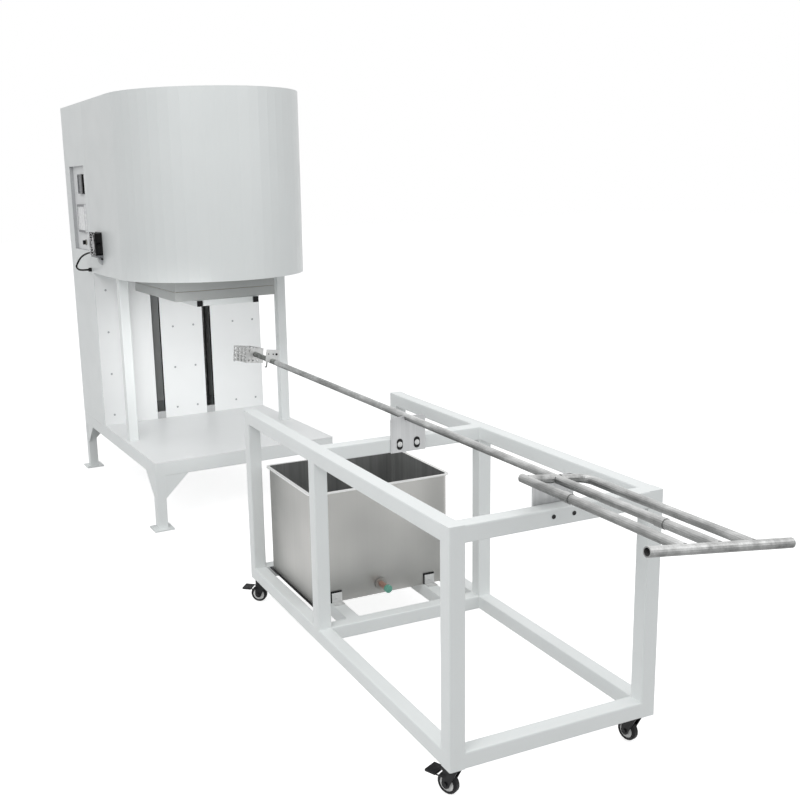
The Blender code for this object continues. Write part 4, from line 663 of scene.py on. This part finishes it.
def make_saddle_bolts():
    """Thin black slot shapes as painted shade in the slotted holes, with washers and hexagon heads, on the two
    saddles.
    """
    for name, x, way in SADDLES:
        out = CART_X * way
        slot_shade = bmesh.new()
        heads = bmesh.new()
        for side in (-1, 1):
            at = CART @ Vector((x + way * SADDLE_LIFT, FORK_Y + side * BOLT_HALF, BOLT_Z))
            # Painted shade: a thin black slot shape in each slotted hole.
            outline = slot_outline(at)
            front = [slot_shade.verts.new(point + out * SLOT_T) for point in outline]
            back = [slot_shade.verts.new(point) for point in outline]
            slot_shade.faces.new(front)
            slot_shade.faces.new(back)
            for step in range(SLOT_STEPS):
                after = (step + 1) % SLOT_STEPS
                slot_shade.faces.new((front[step], front[after], back[after], back[step]))
            seat = at + out * SEAT_LIFT
            disc(heads, seat, out, WASHER_R, WASHER_T)
            disc(heads, seat + out * WASHER_T, out, HEAD_R, HEAD_H, 6)
        piece("saddle_slot_shade_" + name, slot_shade, BLACK_METAL, "cart")
        piece("saddle_bolts_" + name, heads, PLATE_STEEL, "cart")


TAB_X = 0.5088
TAB_HALF = 0.0225
TAB_INSET = 0.004
TAB_H = 0.038
TAB_T = 0.0025
TAB_REACH = 0.034
TAB_ROUND = 0.0005
TAB_SCREW_Z = 0.02
TAB_SCREW_R = 0.0045
TAB_SCREW_H = 0.0025
TAB_SHADE_T = 0.003
TAB_SHADE_H = 0.044
TAB_SHADE_ROUND = 0.0006
TAB_SHADE_GAP = 0.0002
EDGE_SHADOW_X = (0.058, 0.505)
EDGE_SHADOW_Y = (0.0625, 0.078)
EDGE_SHADOW_DROP = 0.004
EDGE_SHADOW_GAP = 0.0004


def make_tank_tabs():
    """The tank's two fixing tabs, each with a screw and a black backing that shows round its edges as painted
    shade, and a black strip under the tank's edge as a painted shadow.
    """
    face = TAB_X + TAB_SHADE_T + TAB_SHADE_GAP
    front = face + TAB_T
    for name in ("near", "far"):
        low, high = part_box("tank_bracket_" + name)
        y, z = (CART.inverted() @ ((low + high) / 2)).y, low.z
        # Painted shade: a black backing that shows round the tab's edges.
        bm = bmesh.new()
        block(bm, (TAB_X, y - TAB_HALF, z), (TAB_X + TAB_SHADE_T, y + TAB_HALF, z + TAB_SHADE_H), CART, TAB_SHADE_ROUND)
        piece("tank_tab_shade_" + name, bm, BLACK_METAL, "cart")
        bm = bmesh.new()
        near = y - TAB_HALF + TAB_INSET
        block(bm, (face, near, z), (front, y + TAB_HALF, z + TAB_H), CART, TAB_ROUND)
        block(bm, (front, near, z), (TAB_X + TAB_REACH, y + TAB_HALF, z + TAB_T), CART, TAB_ROUND)
        disc(bm, CART @ Vector((front, y, z + TAB_SCREW_Z)), CART_X, TAB_SCREW_R, TAB_SCREW_H, 12)
        tab = piece("tank_tab_" + name, bm, PLATE_STEEL, "cart")
        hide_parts("tank_bracket_" + name)
    # Painted shadow: a black strip under the tank's lower edge.
    bm = bmesh.new()
    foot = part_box("tank")[0].z
    block(bm, (EDGE_SHADOW_X[0], EDGE_SHADOW_Y[0], foot - EDGE_SHADOW_DROP), (EDGE_SHADOW_X[1], EDGE_SHADOW_Y[1], foot - EDGE_SHADOW_GAP), CART, TAB_ROUND)
    piece("tank_edge_shadow", bm, BLACK_METAL, "cart")


SHOE_INSET = 0.004
SHOE_SIDE = 0.002
SHOE_DROP = 0.0115
SHOE_GAP = 0.0008
GUSSET_DROP = 0.012
GUSSET_W = 0.022
GUSSET_H = 0.04
GUSSET_Y = (0.02, 0.045)
GUSSET_STEPS = 6
THUMB_X = 0.008
THUMB_DROP = 0.02
THUMB_R = 0.0055
THUMB_H = 0.012


def make_fan_bracket():
    """The small angle under the fan, with its thumb screw and gusset."""
    low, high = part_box("fan_housing")
    bm = bmesh.new()
    shoe_low = (low.x + SHOE_SIDE, low.y + SHOE_INSET, low.z - SHOE_DROP)
    block(bm, shoe_low, (high.x, high.y - SHOE_INSET, low.z - SHOE_GAP), soft=SHOE_GAP)
    piece("fan_bracket", bm, GREY, "furnace")
    bm = bmesh.new()
    top = low.z - GUSSET_DROP
    outline = []
    for step in range(GUSSET_STEPS + 1):
        angle = math.radians(90 * step / GUSSET_STEPS)
        outline.append((high.x - GUSSET_W * math.cos(angle), top - GUSSET_H * math.sin(angle)))
    outline.append((high.x, top))
    sides = [[bm.verts.new((x, low.y + y, z)) for x, z in outline] for y in GUSSET_Y]
    bm.faces.new(sides[0])
    bm.faces.new(sides[1])
    for step in range(len(outline)):
        after = (step + 1) % len(outline)
        bm.faces.new((sides[0][step], sides[0][after], sides[1][after], sides[1][step]))
    # Painted shade: the gusset takes the darker copy of the white coat.
    piece("fan_gusset", bm, SHADE, "furnace", 30)
    bm = bmesh.new()
    at = Vector((high.x - THUMB_X, low.y + SHOE_INSET, low.z - THUMB_DROP))
    disc(bm, at, (0, -1, 0), THUMB_R, THUMB_H)
    piece("fan_thumb_screw", bm, BLACK_METAL, "furnace")


make_basket()
make_carrier()
make_rail_bores()
make_saddle_bolts()
make_tank_tabs()
make_fan_bracket()


# Floor, light and sky
def seen(tree):
    """1 for camera, mirror and glass rays, 0 for the light that bounces off."""
    path = tree.nodes.new("ShaderNodeLightPath")
    sums = path.outputs["Is Camera Ray"]
    for name in ("Is Glossy Ray", "Is Transmission Ray"):
        node = tree.nodes.new("ShaderNodeMath")
        node.operation = "MAXIMUM"
        tree.links.new(sums, node.inputs[0])
        tree.links.new(path.outputs[name], node.inputs[1])
        sums = node.outputs[0]
    return sums


def floor_paint():
    """White to the camera, with the object's soft shadow, and a plainer bounce."""
    material = bpy.data.materials.new("floor")
    material.use_nodes = True
    tree = material.node_tree
    tree.nodes.remove(tree.nodes["Principled BSDF"])
    shown = tree.nodes.new("ShaderNodeBsdfDiffuse")
    shown.inputs["Color"].default_value = (0.6, 0.6, 0.6, 1)
    glow = tree.nodes.new("ShaderNodeEmission")
    glow.inputs["Color"].default_value = (0.78, 0.78, 0.78, 1)
    both = tree.nodes.new("ShaderNodeAddShader")
    bounce = tree.nodes.new("ShaderNodeBsdfDiffuse")
    bounce.inputs["Color"].default_value = (0.5, 0.5, 0.5, 1)
    mix = tree.nodes.new("ShaderNodeMixShader")
    tree.links.new(shown.outputs[0], both.inputs[0])
    tree.links.new(glow.outputs[0], both.inputs[1])
    tree.links.new(seen(tree), mix.inputs["Fac"])
    tree.links.new(bounce.outputs[0], mix.inputs[1])
    tree.links.new(both.outputs[0], mix.inputs[2])
    tree.links.new(mix.outputs[0], tree.nodes["Material Output"].inputs["Surface"])
    return material


FLOOR_SIZE = 30
FLOOR_DROP = 0.0005


def make_stage():
    bm = bmesh.new()
    bmesh.ops.create_grid(bm, x_segments=8, y_segments=8, size=FLOOR_SIZE)
    mesh = bpy.data.meshes.new("floor")
    bm.to_mesh(mesh)
    bm.free()
    floor = bpy.data.objects.new("floor", mesh)
    bpy.context.scene.collection.objects.link(floor)
    floor.location = (0, 0, -FLOOR_DROP)
    mesh.materials.append(floor_paint())


def hang(name, data, place, target):
    """Puts a light in its place, turned to its target and unseen by the camera."""
    light = bpy.data.objects.new(name, data)
    bpy.context.scene.collection.objects.link(light)
    way = Vector(target) - Vector(place)
    light.matrix_world = Matrix.Translation(place) @ way.to_track_quat("-Z", "Y").to_matrix().to_4x4()
    light.visible_camera = False


def lamp(name, place, target, size, power):
    data = bpy.data.lights.new(name, "AREA")
    data.shape = "DISK"
    data.size = size
    data.energy = power
    hang(name, data, place, target)


def spot(name, place, target, cone, size, power):
    data = bpy.data.lights.new(name, "SPOT")
    data.spot_size = math.radians(cone)
    data.spot_blend = 0.6
    data.shadow_soft_size = size
    data.energy = power
    hang(name, data, place, target)


def make_world():
    world = bpy.data.worlds.new("world")
    bpy.context.scene.world = world
    world.use_nodes = True
    tree = world.node_tree
    soft = tree.nodes["Background"]
    soft.inputs["Color"].default_value = (0.975, 0.99, 1.0, 1)
    soft.inputs["Strength"].default_value = 0.6
    plain = tree.nodes.new("ShaderNodeBackground")
    plain.inputs["Color"].default_value = (1, 1, 1, 1)
    plain.inputs["Strength"].default_value = 1.0
    mix = tree.nodes.new("ShaderNodeMixShader")
    tree.links.new(seen(tree), mix.inputs["Fac"])
    tree.links.new(soft.outputs[0], mix.inputs[1])
    tree.links.new(plain.outputs[0], mix.inputs[2])
    tree.links.new(mix.outputs[0], tree.nodes["World Output"].inputs["Surface"])


make_stage()
make_world()
lamp("key", (-3.5, -3.0, 4.5), (0, 0.3, 0.9), 3.0, 85)
lamp("fill", (3.5, -4.0, 2.6), (0, 0, 0.8), 3.0, 25)
lamp("top", (0.0, -1.2, 5.0), (0.0, -0.6, 0.6), 4.0, 40)
spot("low", (-0.9, -0.3, 0.9), (0.05, 1.83, 0.72), 30, 0.25, 75)
bpy.context.scene.view_settings.view_transform = "Standard"
bpy.context.scene.view_settings.look = "None"
